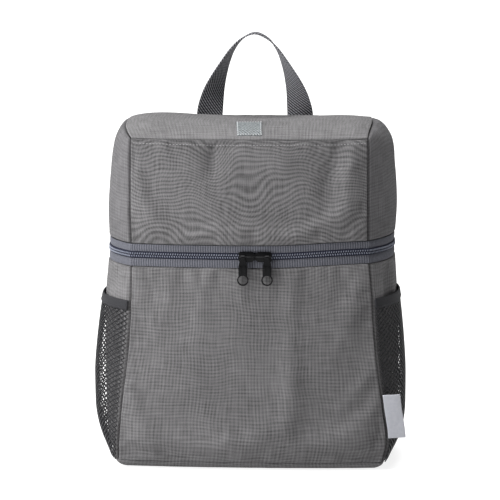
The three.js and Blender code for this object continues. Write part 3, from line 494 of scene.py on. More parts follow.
# %% [markdown]
# ## Padded panels
#
# Each panel is outer cloth, foam and inner cloth, sewn along its edges. On the real bag the cloth
# rolls into the seam, puckers a little where the thread pulls, and gives in soft hollows between.
# Modelling a panel as a flat plate would lose all of that. Here each panel is a fine grid on the
# plan of the body. On the front, the back and the lower sides a short cloth simulation of a
# slightly too large sheet, held at its edges, gives the hollows. The roll into the seams, the
# puckers and a few creases are small moves in code.

# %% Grids and closed shells


def grid_lines(length, pitch=1.8):
    """Places in millimetres along an edge, close together next to both of its seams."""
    ends = np.array([0, 0.25, 0.55, 0.95, 1.5, 2.3, 3.4])
    count = max(2, round((length - 2 * ends[-1]) / pitch))
    inner = np.linspace(ends[-1], length - ends[-1], count + 1)
    return np.concatenate([ends[:-1], inner, length - ends[-2::-1]])


def grid_quads(index):
    """The faces of a grid of numbered points."""
    corners = [index[:-1, :-1], index[1:, :-1], index[1:, 1:], index[:-1, 1:]]
    return np.stack(corners, -1).reshape(-1, 4)


def face_inwards(points, quads):
    """Whether a body's faces are inside out. The sum is six times the volume within them."""
    a, b, c, d = (points[quads[:, k]] - points.mean(0) for k in range(4))
    return (np.cross(a, b) * c).sum() + (np.cross(a, c) * d).sum() < 0


def mapped_mesh(name, points, faces, uv, finish):
    """A smooth mesh with a UV map in metres, from one place for each of its points."""
    mesh = bpy.data.meshes.new(name)
    mesh.from_pydata(points.tolist(), [], faces)
    layer = mesh.uv_layers.new(name="weave")
    corners = np.empty(len(mesh.loops), int)
    mesh.loops.foreach_get("vertex_index", corners)
    layer.data.foreach_set("uv", uv[corners].ravel())
    mesh.materials.append(finish)
    mesh.shade_smooth()
    return mesh


def closed_shell(name, outer, inner, uv, finish, lining_finish=None):
    """A closed body between two grids of points in millimetres, facing outwards."""
    rows, columns = outer.shape[:2]
    count = rows * columns
    points = np.concatenate([outer.reshape(-1, 3), inner.reshape(-1, 3)]) * MM
    index = np.arange(count).reshape(rows, columns)
    quads = grid_quads(index)
    rim = np.concatenate([index[:-1, 0], index[-1, :-1], index[:0:-1, -1], index[0, :0:-1]])
    beyond = np.roll(rim, -1)
    walls = np.stack([rim, rim + count, beyond + count, beyond], -1)
    faces = np.concatenate([quads, quads[:, ::-1] + count, walls])
    if face_inwards(points, faces):
        faces = faces[:, ::-1]
    both_uv = np.concatenate([uv.reshape(-1, 2)] * 2)
    mesh = mapped_mesh(name, points, faces.tolist(), both_uv, finish)
    if lining_finish:
        mesh.materials.append(lining_finish)
        inside = np.zeros(len(faces), int)
        inside[len(quads) : 2 * len(quads)] = 1
        mesh.polygons.foreach_set("material_index", inside)
    return linked(name, mesh)


def normals_of(points):
    """Unit normals of a grid of points."""
    cross = np.cross(np.gradient(points, axis=0), np.gradient(points, axis=1))
    return cross / np.maximum(np.linalg.norm(cross, axis=-1, keepdims=True), 1e-9)


# %% Soft noise for hollows and puckers
NOISE_ROWS = 64
NOISE_START = (31.7, 17.3)  # off the rows of the table, so that no seam lies along one


def soft_noise(x, y, seed):
    """Smooth noise from -1 to 1 with one cell per unit, the same on every run."""
    rng = np.random.default_rng(seed)
    table = rng.uniform(-1, 1, (NOISE_ROWS, NOISE_ROWS))
    x, y = np.asarray(x, float) + NOISE_START[0], np.asarray(y, float) + NOISE_START[1]
    x, y = np.broadcast_arrays(x, y)
    i, j = np.floor(x).astype(int), np.floor(y).astype(int)
    fx, fy = eased(x - i), eased(y - j)
    i, j, i1, j1 = (row % NOISE_ROWS for row in (i, j, i + 1, j + 1))
    return lerp(lerp(table[i, j], table[i1, j], fx), lerp(table[i, j1], table[i1, j1], fx), fy)


# %% Cloth simulation of one panel
SIM_PITCH = 5.0
SIM_FRAMES = 16
SIM_STIFFNESS = 6.0  # of the padding, against bending
START_WAVE = 0.8  # height of the waves that the sheet starts with
START_LENGTH = 23
DEEPEST_HOLLOW = 3.0


def coarse_lines(places):
    """Even steps of about the pitch of the simulation from the first place to the last."""
    steps = max(8, round((places[-1] - places[0]) / SIM_PITCH))
    return np.linspace(places[0], places[-1], steps + 1)


def resampled(values, old, new):
    """Rows of values moved from old places to new ones, on a smooth curve."""
    slopes = np.gradient(values, old, axis=0)
    after = np.clip(np.searchsorted(old, new), 1, len(old) - 1)
    width = (old[after] - old[after - 1])[:, None]
    share = (new - old[after - 1])[:, None] / width
    return between_rows(values, slopes, after, width, share)


def held_sheet(points, edge, slack):
    """A sheet of cloth that is a little too large for its frame and held along its edge."""
    index = np.arange(edge.size).reshape(edge.shape)
    mesh = bpy.data.meshes.new("sheet")
    mesh.from_pydata((points.reshape(-1, 3) * MM).tolist(), [], grid_quads(index).tolist())
    sheet = linked("sheet", mesh)
    held = sheet.vertex_groups.new(name="held")
    held.add(index[edge].tolist(), 1.0, "REPLACE")
    cloth_modifier = sheet.modifiers.new("cloth", "CLOTH")
    settings = cloth_modifier.settings
    settings.quality = 5
    settings.mass = 0.3
    settings.tension_stiffness = 15
    settings.compression_stiffness = 15
    settings.bending_stiffness = SIM_STIFFNESS
    settings.shrink_min = -slack
    settings.vertex_group_mass = "held"
    settings.effector_weights.gravity = 0.3
    cloth_modifier.point_cache.frame_end = SIM_FRAMES
    return sheet


def simulated_hollows(name, surface, us, vs, slack):
    """How far a held sheet of cloth sinks or swells off a panel, in millimetres."""
    coarse_u, coarse_v = coarse_lines(us), coarse_lines(vs)
    u, v = np.meshgrid(coarse_u, coarse_v, indexing="ij")
    base = surface(u, v, np.zeros_like(u))
    out = normals_of(base)
    wave = soft_noise(u / START_LENGTH, v / START_LENGTH, len(name))
    start = base + out * wave[..., None] * START_WAVE
    edge = np.ones(u.shape, bool)
    edge[1:-1, 1:-1] = False
    start[edge] = base[edge]
    sheet = held_sheet(start, edge, slack)
    for number in range(1, SIM_FRAMES + 1):
        bpy.context.scene.frame_set(number)
    result = sheet.evaluated_get(bpy.context.evaluated_depsgraph_get()).to_mesh()
    moved = np.empty(base.size)
    result.vertices.foreach_get("co", moved)
    bpy.data.objects.remove(sheet)
    bpy.context.scene.frame_set(1)
    off = ((moved.reshape(base.shape) / MM - base) * out).sum(-1)
    off = DEEPEST_HOLLOW * np.tanh(off / DEEPEST_HOLLOW)
    print(f"{name}: hollows from {off.min():.1f} to {off.max():.1f} mm")
    return resampled(resampled(off, coarse_u, us).T, coarse_v, vs).T


# %% Dents that the solids have too
DENTS = [
    {"panel": "lid_front", "across": 0.35, "up": 0.86, "wide": 0.05, "tall": 0.24, "deep": 0.75},
    {"panel": "lid_front", "across": 0.84, "up": 0.62, "wide": 0.05, "tall": 0.3, "deep": 0.55},
    {"panel": "lid_front", "across": 0.93, "up": 0.72, "wide": 0.05, "tall": 0.22, "deep": -0.5},
    {"panel": "lid_front", "across": 0.55, "up": 0.55, "wide": 0.16, "tall": 0.2, "deep": 0.4},
    {"panel": "lower_front", "across": 0.07, "up": 0.84, "wide": 0.05, "tall": 0.14, "deep": 0.7},
    {"panel": "lower_front", "across": 0.62, "up": 0.62, "wide": 0.14, "tall": 0.3, "deep": 0.45},
    {"panel": "lower_front", "across": 0.3, "up": 0.25, "wide": 0.12, "tall": 0.1, "deep": 0.45},
    {"panel": "lower_front", "across": 0.86, "up": 0.12, "wide": 0.1, "tall": 0.1, "deep": -0.5},
    {"panel": "lid_top", "across": 0.52, "up": 0.85, "wide": 0.28, "tall": 0.38, "deep": 1.5},
    {"panel": "lid_top", "across": 0.88, "up": 0.35, "wide": 0.05, "tall": 0.2, "deep": 0.5},
    {"panel": "lid_side_right", "across": 0.32, "up": 0.45, "wide": 0.16, "tall": 0.5, "deep": 0.35},
    {"panel": "lower_side_left", "across": 0.18, "up": 0.93, "wide": 0.08, "tall": 0.08, "deep": 0.5},
    {"panel": "lower_side_right", "across": 0.2, "up": 0.92, "wide": 0.08, "tall": 0.1, "deep": 0.6},
]


def dent(panel, across, up):
    """How far the dents of a panel move a point in. They fade out at the panel's edges."""
    total = np.zeros(np.broadcast(across, up).shape)
    for row in DENTS:
        if row["panel"] == panel:
            reach = ((across - row["across"]) / row["wide"]) ** 2
            reach = reach + ((up - row["up"]) / row["tall"]) ** 2
            total += row["deep"] * DENT_DEPTH * np.exp(-reach)
    return total * bow(across, 6) * bow(up, 6)


# %% Creases too fine for the solids
CREASES = [
    {"panel": "lid_front", "start": (0.352, 0.99), "end": (0.345, 0.68), "wide": 5, "deep": 1.9},
    {"panel": "lid_front", "start": (0.885, 0.98), "end": (0.82, 0.5), "wide": 6, "deep": 1.7},
    {"panel": "lid_front", "start": (0.93, 0.9), "end": (0.9, 0.55), "wide": 5, "deep": -1.0},
    {"panel": "lid_front", "start": (0.17, 0.95), "end": (0.24, 0.7), "wide": 5, "deep": 0.9},
    {"panel": "lower_front", "start": (0.07, 0.99), "end": (0.1, 0.78), "wide": 5, "deep": 1.5},
    {"panel": "lower_front", "start": (0.1, 0.33), "end": (0.3, 0.21), "wide": 7, "deep": 1.3},
    {"panel": "lower_front", "start": (0.95, 0.98), "end": (0.85, 0.8), "wide": 6, "deep": 1.2},
]
CREASE_FADE = 4.0  # from a seam, in millimetres
CREASE_TAPER = 0.6  # how much shallower a crease is at its end than at its start


def creased(panel, u, v, wide, tall):
    """How deep the creases of a panel are at places in millimetres."""
    total = np.zeros(u.shape)
    for row in CREASES:
        if row["panel"] == panel:
            (x0, y0), (x1, y1) = row["start"], row["end"]
            x0, y0, dx, dy = x0 * wide, y0 * tall, (x1 - x0) * wide, (y1 - y0) * tall
            way = np.clip(((u - x0) * dx + (v - y0) * dy) / (dx * dx + dy * dy), 0, 1)
            off = np.hypot(u - x0 - way * dx, v - y0 - way * dy) / row["wide"]
            total += row["deep"] * np.exp(-off * off) * (1 - CREASE_TAPER * way)
    to_seam = np.minimum.reduce([u, wide - u, v, tall - v])
    return total * smoothstep(to_seam, 0, CREASE_FADE)


# %% How cloth lies beside a seam
ROLL = 1.3  # how deep the cloth rolls into a seam
ROLL_RADIUS = 1.9
SINK = 3.2  # how much deeper a seam is where the dark gap between two panels shows
SINK_REACH = 0.95
PUCKER_HEIGHT = 0.34
PUCKER_START = 0.8
PUCKER_REACH = 7.0
PUCKER_LENGTH = 9.0
PUCKER_DEPTH = 14.0
FINE_SHARE = 0.6  # a second, finer set of puckers lies over the first
FINE_LENGTH = PUCKER_LENGTH / 2.1
FINE_DEPTH = 9.0
GROOVE_DEPTH = 0.45
GROOVE_WIDTH = 0.7


def rolled(distance, sunk):
    """How far the cloth has turned in at that distance from its seam.

    It follows a quarter circle, and then drops by sunk into the gap of a deep seam."""
    inside = np.clip(ROLL_RADIUS - distance, 0, ROLL_RADIUS)
    turned = ROLL * (1 - np.sqrt(np.clip(1 - (inside / ROLL_RADIUS) ** 2, 0, 1)))
    return turned + sunk * np.exp(-((distance / SINK_REACH) ** 2))


def puckers(distance, place, seed):
    """Short ripples square to a seam, strongest a few millimetres off it."""
    fade = np.exp(-distance / PUCKER_REACH) * (1 - np.exp(-distance / PUCKER_START))
    ripple = soft_noise(place / PUCKER_LENGTH, distance / PUCKER_DEPTH, seed)
    finer = soft_noise(place / FINE_LENGTH, distance / FINE_DEPTH, seed + 1)
    return PUCKER_HEIGHT * fade * (ripple + FINE_SHARE * finer)


def topstitch_groove(distance, row):
    """The line that a row of stitches presses into the cloth."""
    return -GROOVE_DEPTH * np.exp(-(((distance - row) / GROOVE_WIDTH) ** 2))


def puff(distance, height, reach):
    """How far padding pushes the cloth out beside a seam: nothing on it, most at reach."""
    return height * (distance / reach) * np.exp(1 - distance / reach)


# %% One padded panel
SKINS = {}  # the outer face of each panel, for what is sewn on it
HALF_GAP = SEAM_GAP / 2


def dressed(piece, node, body="bag"):
    """The piece rides on a body and stands for its node."""
    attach(piece, body)
    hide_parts(node)
    print(f"{piece.name}: {len(piece.data.polygons)} faces")
    return piece


def panel(
    name, node, surface, wide, low, high,
    deep=(), grooves=(), slack=0.012, finish=cloth, most=None, crest=None,
):
    """A padded panel. surface(across, level, depth) is in millimetres, and across is 0 to 1.

    deep names its edges that sink into a dark seam. grooves holds an edge and a distance for
    each row of topstitching. slack is how much too large the simulated sheet is. most is how
    far the cloth may stand off its plan, which keeps it behind a pocket. crest is the height
    and reach of a puff under its top seam."""
    tall = high - low
    us, vs = grid_lines(wide), grid_lines(tall)
    u, v = np.meshgrid(us, vs, indexing="ij")
    inset = HALF_GAP / wide

    def at(x, y, depth):
        return surface(lerp(inset, 1 - inset, x / wide), low + y, depth)

    edges = {"left": (u, v), "right": (wide - u, v), "bottom": (v, u), "top": (tall - v, u)}
    depth = np.maximum.reduce(
        [rolled(distance, SINK * (edge in deep)) for edge, (distance, _) in edges.items()]
    )
    base = at(u, v, depth)
    short = node.replace("_panel", "")  # as the tables of dents and creases name it
    relief = -dent(short, u / wide, v / tall) - creased(short, u, v, wide, tall)
    for number, (distance, place) in enumerate(edges.values()):
        relief = relief + puckers(distance, place, len(name) * 7 + number)
    for edge, row in grooves:
        relief = relief + topstitch_groove(edges[edge][0], row)
    if slack:
        relief = relief + simulated_hollows(name, at, us, vs, slack)
    if most is not None:
        relief = np.minimum(relief, most)
    if crest:
        relief = relief + puff(tall - v, *crest) * bow(u / wide, 6)
    outward = normals_of(at(u, v, np.zeros_like(u)))
    middle = base.reshape(-1, 3).mean(0)
    centre = np.array([0, 0, BODY_HEIGHT / 2])
    if (outward.reshape(-1, 3).mean(0) * (middle - centre)).sum() < 0:
        outward = -outward
    outer = base + outward * relief[..., None]
    SKINS[name] = (us, vs, outer, outward)
    inner = at(u, v, np.full_like(u, WALL)) + outward * np.minimum(relief, 0)[..., None]
    piece = closed_shell(name, outer, inner, np.stack([u, v], -1) * MM, finish, lining)
    dressed(piece, node)


# %% Front, side and back panels
STITCH_ROW = 4.6  # from a seam to its row of topstitching
UPRIGHT = ("left", "right")
SIDES = ((-1, "left"), (1, "right"))
LID_CRESTS = {"left": (2.6, 12), "right": (4.2, 5)}  # height and reach of each puff
BASE_LEVEL, TOP_LEVEL = BOTTOM_SEAM_HEIGHT + HALF_GAP, FRONT_SEAM_HEIGHT - HALF_GAP


def side_surface(side):
    """The surface of one side, in the form that panel takes."""
    return lambda back, level, depth: side_point(side, back, level, depth)


panel("front_lower_cloth", "lower_front_panel", front_point, FRONT_WIDTH, BASE_LEVEL, LOWER_EDGE,
      deep=(*UPRIGHT, "top"))
panel("front_lid_cloth", "lid_front_panel", front_point, FRONT_WIDTH, UPPER_EDGE, TOP_LEVEL,
      deep=(*UPRIGHT, "bottom"), grooves=[("top", STITCH_ROW)], finish=lid_cloth)
for side, word in SIDES:
    face = side_surface(side)
    panel(f"{word}_lower_cloth", f"lower_side_{word}", face, BODY_DEPTH, BASE_LEVEL, LOWER_EDGE,
          deep=(*UPRIGHT, "top"), most=0.0)
    panel(f"{word}_lid_cloth", f"lid_side_{word}", face, BODY_DEPTH, UPPER_EDGE, TOP_LEVEL,
          deep=(*UPRIGHT, "bottom"), slack=0, finish=side_cloth, crest=LID_CRESTS[word])
panel("back_cloth", "back_panel", back_point, FRONT_WIDTH, BASE_LEVEL, TOP_LEVEL,
      deep=UPRIGHT, slack=0.006)

# %% Top and bottom panels


def top_surface(across, back, depth):
    return top_point(across, back / BODY_DEPTH, depth)


def bottom_surface(across, back, depth):
    return bottom_point(across, back / BODY_DEPTH, depth)


panel("top_cloth", "lid_top_panel", top_surface, FRONT_WIDTH, HALF_GAP, BODY_DEPTH - HALF_GAP,
      deep=UPRIGHT, slack=0, finish=top_cloth)
panel("bottom_cloth", "bottom_panel", bottom_surface, FRONT_WIDTH, HALF_GAP,
      BODY_DEPTH - HALF_GAP, slack=0)

# %% [markdown]
# ## Things that repeat
#
# Stitches, the turns of the zip's coil and the strands of the nets repeat hundreds of times.
# Placing each one by hand or by a Python loop would be slow to change, so Geometry Nodes do it.
# The tree for stitches resamples a path, puts a small shape on each point and turns it along the
# path and away from the cloth. Each tree is built here with named inputs, and its result is then
# kept as a plain mesh, because an exported model holds no instances.

# %% Building and applying a node tree


class Nodes:
    """A Geometry Nodes tree with named inputs, wired as its nodes are made."""

    def __init__(self, name, **inputs):
        self.tree = bpy.data.node_groups.new(name, "GeometryNodeTree")
        face = self.tree.interface
        face.new_socket("Geometry", in_out="INPUT", socket_type="NodeSocketGeometry")
        for label, kind in inputs.items():
            face.new_socket(label, in_out="INPUT", socket_type=f"NodeSocket{kind}")
        face.new_socket("Geometry", in_out="OUTPUT", socket_type="NodeSocketGeometry")
        self.start = self.tree.nodes.new("NodeGroupInput").outputs
        self.end = self.tree.nodes.new("NodeGroupOutput").inputs

    def add(self, kind, settings=None, **inputs):
        """Adds a node. Inputs are given by name, with _ for a space, or as in0, in1 and so on."""
        node = self.tree.nodes.new(kind)
        for key, value in (settings or {}).items():
            setattr(node, key, value)
        for key, value in inputs.items():
            number = key[2:]
            by_number = key.startswith("in") and number.isdigit()
            socket = node.inputs[int(number) if by_number else key.replace("_", " ")]
            if isinstance(value, bpy.types.NodeSocket):
                self.tree.links.new(value, socket)
            else:
                socket.default_value = value
        return node.outputs

    def times(self, value, factor):
        return self.add("ShaderNodeMath", {"operation": "MULTIPLY"}, in0=value, in1=factor)[0]

    def join(self, *geometries):
        node = self.tree.nodes.new("GeometryNodeJoinGeometry")
        for geometry in geometries:
            self.tree.links.new(geometry, node.inputs[0])
        return node.outputs[0]

    def finish(self, geometry, material):
        real = self.add("GeometryNodeRealizeInstances", Geometry=geometry)[0]
        done = self.add("GeometryNodeSetMaterial", Geometry=real, Material=material)[0]
        self.tree.links.new(done, self.end[0])
        return self.tree


def grown(name, carrier, tree, **values):
    """Runs a tree on a carrier mesh and keeps the result as a plain mesh."""
    modifier = carrier.modifiers.new(tree.name, "NODES")
    modifier.node_group = tree
    for item in tree.interface.items_tree:
        if item.in_out == "INPUT" and item.name in values:
            modifier[item.identifier] = values[item.name]
    bpy.context.view_layer.update()
    evaluated = carrier.evaluated_get(bpy.context.evaluated_depsgraph_get())
    mesh = bpy.data.meshes.new_from_object(evaluated)
    mesh.name = name
    bpy.data.objects.remove(carrier)
    print(f"{name}: {len(mesh.polygons)} faces from tree {tree.name}")
    return linked(name, mesh)


def path_carrier(paths):
    """A mesh of polylines in millimetres, with the direction away from the cloth at each point.

    paths is a list of (points, outward directions)."""
    points, outs, edges = [], [], []
    for line, out in paths:
        first = len(points)
        points.extend((np.asarray(line) * MM).tolist())
        outs.extend(np.broadcast_to(out, np.shape(line)).tolist())
        edges.extend((first + i, first + i + 1) for i in range(len(line) - 1))
    mesh = bpy.data.meshes.new("paths")
    mesh.from_pydata(points, edges, [])
    away = mesh.attributes.new("away", "FLOAT_VECTOR", "POINT")
    away.data.foreach_set("vector", np.array(outs, float).ravel())
    return linked("paths", mesh)


def instances_on_path(nodes, shape, spacing):
    """Puts a shape at even spacing on the carrier's paths: X along, Z away from the cloth."""
    away = nodes.add("GeometryNodeInputNamedAttribute", {"data_type": "FLOAT_VECTOR"}, Name="away")
    curve = nodes.add("GeometryNodeMeshToCurve", Mesh=nodes.start["Geometry"])[0]
    points = nodes.add("GeometryNodeCurveToPoints", {"mode": "LENGTH"}, Curve=curve, Length=spacing)
    turn = nodes.add(
        "FunctionNodeAxesToRotation",
        {"primary_axis": "Z", "secondary_axis": "X"},
        in0=away["Attribute"],
        in1=points["Tangent"],
    )[0]
    return nodes.add(
        "GeometryNodeInstanceOnPoints", Points=points["Points"], Instance=shape, Rotation=turn
    )[0]


# %% The stitch tree
STITCH_PITCH = 0.0031
STITCH_SHARE = 0.74  # how much of the pitch one stitch covers
THREAD = 0.00062


def stitch_tree():
    """A row of stitches: a short swell of thread at every pitch, half sunk in the cloth."""
    nodes = Nodes("stitch_row", Pitch="Float", Thread="Float", Material="Material")
    start = nodes.start
    bead = nodes.add("GeometryNodeMeshUVSphere", Segments=6, Rings=5, Radius=0.5)[0]
    long = nodes.times(start["Pitch"], STITCH_SHARE)
    size = nodes.add("ShaderNodeCombineXYZ", X=long, Y=start["Thread"], Z=start["Thread"])[0]
    stitch = nodes.add("GeometryNodeTransform", Geometry=bead, Scale=size)[0]
    row = instances_on_path(nodes, stitch, start["Pitch"])
    return nodes.finish(row, start["Material"])


STITCH_ROW_TREE = stitch_tree()


def dimmed(colour, share):
    return tuple(channel * share for channel in colour)


def thread_finish(name, colour):
    """Twisted thread: fine light and dark bands across it."""
    tree = Tree(name)
    x, y, z = tree.place()
    twist = waves(tree, sum_of(tree, (x, 1.0), (y, 1.0), (z, 1.0)), 0.0006)
    share = tree.math("MULTIPLY_ADD", twist, 0.5, 0.5)
    tree.colour(share, dimmed(colour, 0.7), colour)
    tree.set(Roughness=0.8, Specular_IOR_Level=0.2)
    return tree.material


grey_thread = thread_finish("grey_thread", (0.25, 0.245, 0.25))
dark_thread = thread_finish("dark_thread", (0.05, 0.05, 0.056))


def stitches(name, paths, body="bag", finish=grey_thread, pitch=STITCH_PITCH):
    """Rows of stitches along paths in millimetres."""
    row = grown(
        name, path_carrier(paths), STITCH_ROW_TREE, Pitch=pitch, Thread=THREAD, Material=finish
    )
    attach(row, body)
    return row


# %% [markdown]
# ## The zip
#
# A coil zip has two ribbed tapes and a nylon coil whose turns show as two rows of light dots with
# a dark line between. The tapes are drawn as a flat profile carried round three sides of the bag,
# in steps so short that the ribs are real ridges. The coil is a low dark bed with a tree that
# sets one turn on each side of the middle at every pitch.

# %% Profiles carried along a path


def closed_loft(name, rings, finish, run):
    """A closed bar through equal rings of points in millimetres; run is how far along each is."""
    count, sides = rings.shape[:2]
    index = np.arange(count * sides).reshape(count, sides)
    beyond = np.roll(index, -1, axis=1)
    quads = np.stack([index[:-1], beyond[:-1], beyond[1:], index[1:]], -1).reshape(-1, 4)
    points = rings.reshape(-1, 3) * MM
    faces = quads.tolist() + [index[0, ::-1].tolist(), index[-1].tolist()]
    if face_inwards(points, quads):
        faces = [face[::-1] for face in faces]
    around = np.linalg.norm(np.diff(rings, axis=1, append=rings[:, :1]), axis=-1)
    around = np.concatenate([[0], np.cumsum(around.mean(0))[:-1]])
    uv = np.stack(np.meshgrid(run, around, indexing="ij"), -1).reshape(-1, 2) * MM
    mesh = mapped_mesh(name, points, faces, uv, finish)
    mesh.set_sharp_from_angle(angle=math.radians(50))
    return linked(name, mesh)


# %% The zip's path
ZIP_STEP = 0.55
ZIP_MARGIN = 0.002  # as a share of each side, so that no ring lies in a corner of the plan
RIB_PITCH = 2.3
SIDE_STEPS = round((BODY_DEPTH + 8) / ZIP_STEP)
FRONT_STEPS = round((FRONT_WIDTH + 4) / ZIP_STEP)


def zip_rings(levels, depths, start=None, stop=None):
    """Rings round the left side, the front and the right side. start and stop cut the front."""
    back = np.linspace(ZIP_MARGIN, 1 - ZIP_MARGIN, SIDE_STEPS)[:, None]
    left = side_point(-1, back[::-1], levels, depths)
    right = side_point(1, back, levels, depths)
    across = np.linspace(start or ZIP_MARGIN, stop or 1 - ZIP_MARGIN, FRONT_STEPS)[:, None]
    front = front_point(across, levels, depths)
    if start is not None:
        return np.concatenate([front, right])
    if stop is not None:
        return np.concatenate([left, front])
    return np.concatenate([left, front, right])


def lengths_along(rings):
    """How far each ring lies along the bar."""
    steps = np.linalg.norm(np.diff(rings.mean(1), axis=0), axis=-1)
    return np.concatenate([[0], np.cumsum(steps)])


# %% Tape finish


def ribbed(name, dark, light, pitch):
    """Tape or binding with ribs across it."""
    tree = Tree(name)
    u, v, _ = tree.place("weave")
    rib = waves(tree, u, pitch * MM)
    yarn = waves(tree, v, 0.0011)
    share = sum_of(tree, (rib, 0.26), (yarn, 0.2), (tree.noise(900, 2), 0.6), base=0.14)
    tree.colour(share, dark, light)
    tree.bump(tree.math("MULTIPLY", rib, yarn), 0.0001, 0.5)
    tree.set(Roughness=0.85, Specular_IOR_Level=0.15, Sheen_Weight=0.02)
    return tree.material


tape_cloth = ribbed("zip_tape_cloth", (0.014, 0.015, 0.02), (0.118, 0.12, 0.139), RIB_PITCH)

# %% Tapes
RIB_RISE = 0.14
TAPE_CROWN = 0.35
TAPE_TUCK = 0.2  # how far a tape reaches under its panel's edge
TEETH_GAP = 0.1
FACE_ROWS = 7
HALF_TEETH = TEETH_HEIGHT / 2
for name, node, low, high in (
    ("tape_below", "zip_tape_lower", LOWER_EDGE - TAPE_TUCK, ZIP_HEIGHT - HALF_TEETH - TEETH_GAP),
    ("tape_above", "zip_tape_upper", ZIP_HEIGHT + HALF_TEETH + TEETH_GAP, UPPER_EDGE + TAPE_TUCK),
):
    face = np.linspace(low, high, FACE_ROWS)
    levels = np.concatenate([face, face[::-3]])
    crown = TAPE_CROWN * bow(np.linspace(0, 1, FACE_ROWS), 2)
    depths = np.concatenate([TAPE_RECESS - crown, np.full(3, TAPE_RECESS + TAPE_THICKNESS)])
    plain = zip_rings(levels, depths)
    run = lengths_along(plain)
    ribs = RIB_RISE * np.sin(2 * math.pi * run / RIB_PITCH)[:, None]
    on_face = np.zeros(len(levels))
    on_face[1 : FACE_ROWS - 1] = 1
    outward = zip_rings(levels, depths - 1.0) - plain
    rings = plain + outward * (ribs * on_face)[..., None]
    dressed(closed_loft(name, rings, tape_cloth, run), node)

# %% Coil
MEETING_ACROSS = 4
COIL_PITCH = 2.25
COIL_REACH = 2.1
COIL_GAP = 2.3
COIL_LIFT = 0.8  # of the turns, off the face that the tapes lie on
TURN_SLANT = 22


def nylon(name, colour, roughness):
    """Dull nylon with faint darker spots."""
    tree = Tree(name)
    tree.place()
    tree.colour(tree.noise(400, 2), dimmed(colour, 0.75), colour)
    tree.set(Roughness=roughness, Specular_IOR_Level=0.12)
    return tree.material


coil_bed = nylon("coil_bed_nylon", (0.008, 0.009, 0.018), 0.7)
coil_turn = nylon("coil_turn_nylon", (0.135, 0.145, 0.178), 0.5)


def teeth_tree():
    """One turn of the coil on each side of its middle, at every pitch."""
    nodes = Nodes("zip_coil", Pitch="Float", Reach="Float", Material="Material")
    pitch, reach = nodes.start["Pitch"], nodes.start["Reach"]
    bead = nodes.add("GeometryNodeMeshUVSphere", Segments=6, Rings=5, Radius=0.5)[0]
    wide, rise = nodes.times(pitch, 0.56), nodes.times(pitch, 0.5)
    size = nodes.add("ShaderNodeCombineXYZ", X=wide, Y=reach, Z=rise)[0]
    halves = []
    for side in (-1, 1):
        out, shift = nodes.times(reach, 0.56 * side), nodes.times(pitch, 0.25 * side)
        place = nodes.add("ShaderNodeCombineXYZ", X=shift, Y=out, Z=0.0)[0]
        slant = (0, 0, math.radians(-TURN_SLANT * side))
        turn = nodes.add(
            "GeometryNodeTransform", Geometry=bead, Scale=size, Translation=place, Rotation=slant
        )
        halves.append(turn[0])
    row = instances_on_path(nodes, nodes.join(*halves), pitch)
    return nodes.finish(row, nodes.start["Material"])


COIL_TREE = teeth_tree()
plan_at_zip = section(ZIP_HEIGHT)


def across_of(x):
    """The share across the front of a place in millimetres, at the zip."""
    return float(((x - plan_at_zip["middle"]) / plan_at_zip["front"] + 1) / 2)


# two low humps with a groove between them, from the back of the bed round to its back again
bed_levels = ZIP_HEIGHT + HALF_TEETH * np.array([-1, -1, -0.8, -0.3, 0, 0.3, 0.8, 1, 1])
bed_depths = TAPE_RECESS + np.array([1.2, 0, -0.75, -0.85, -0.4, -0.85, -0.75, 0, 1.2])
for side, word in SIDES:
    end = across_of(MEETING_ACROSS + side * COIL_GAP)
    cut = {"stop": end} if side < 0 else {"start": end}
    rings = zip_rings(bed_levels, bed_depths, **cut)
    bed = closed_loft(f"coil_bed_{word}", rings, coil_bed, lengths_along(rings))
    dressed(bed, f"zip_teeth_{word}")
    middle, turn_depth = np.array([ZIP_HEIGHT]), np.array([TAPE_RECESS - COIL_LIFT])
    top = zip_rings(middle, turn_depth, **cut)[:, 0]
    under = zip_rings(middle, turn_depth + 1, **cut)[:, 0]
    turns = grown(
        f"coil_turns_{word}", path_carrier([(top, top - under)]), COIL_TREE,
        Pitch=COIL_PITCH * MM, Reach=COIL_REACH * MM, Material=coil_turn,
    )
    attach(turns, "bag")

# %% [markdown]
# ## Sliders and pulls
#
# Two die-cast sliders meet near the middle, each with a ribbed pull on a small bridge. Their
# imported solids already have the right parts, but cast metal has no knife edge. A copy of each
# solid gets its hard edges rounded, and then the gloss of the paint has something to run along.

# %% Rounded copies


def rounded_copy(name, node, finish, radius, body="bag"):
    """A copy of a node's solid with its hard edges rounded, in millimetres."""
    bm = bmesh.new()
    bm.from_mesh(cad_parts[node].data)
    bmesh.ops.remove_doubles(bm, verts=bm.verts, dist=1e-6)
    bmesh.ops.dissolve_limit(
        bm, angle_limit=math.radians(2), verts=bm.verts, edges=bm.edges, delimit={"NORMAL"}
    )
    hard = [e for e in bm.edges if e.is_manifold and e.calc_face_angle(0) > math.radians(35)]
    bmesh.ops.bevel(
        bm, geom=hard, offset=radius * MM, segments=2, profile=0.6, affect="EDGES",
        clamp_overlap=True,
    )
    mesh = bpy.data.meshes.new(name)
    bm.to_mesh(mesh)
    bm.free()
    mesh.materials.clear()
    mesh.materials.append(finish)
    mesh.shade_smooth()
    mesh.set_sharp_from_angle(angle=math.radians(40))
    return dressed(linked(name, mesh), node, body)


def black_finish(name, colour, roughness, gloss):
    """Paint or plastic with a fine grain."""
    tree = Tree(name)
    tree.place()
    tree.colour(tree.noise(700, 3), dimmed(colour, 0.6), colour)
    tree.bump(tree.noise(2500, 2), 0.00004, 0.4)
    tree.set(Roughness=roughness, Specular_IOR_Level=gloss)
    return tree.material


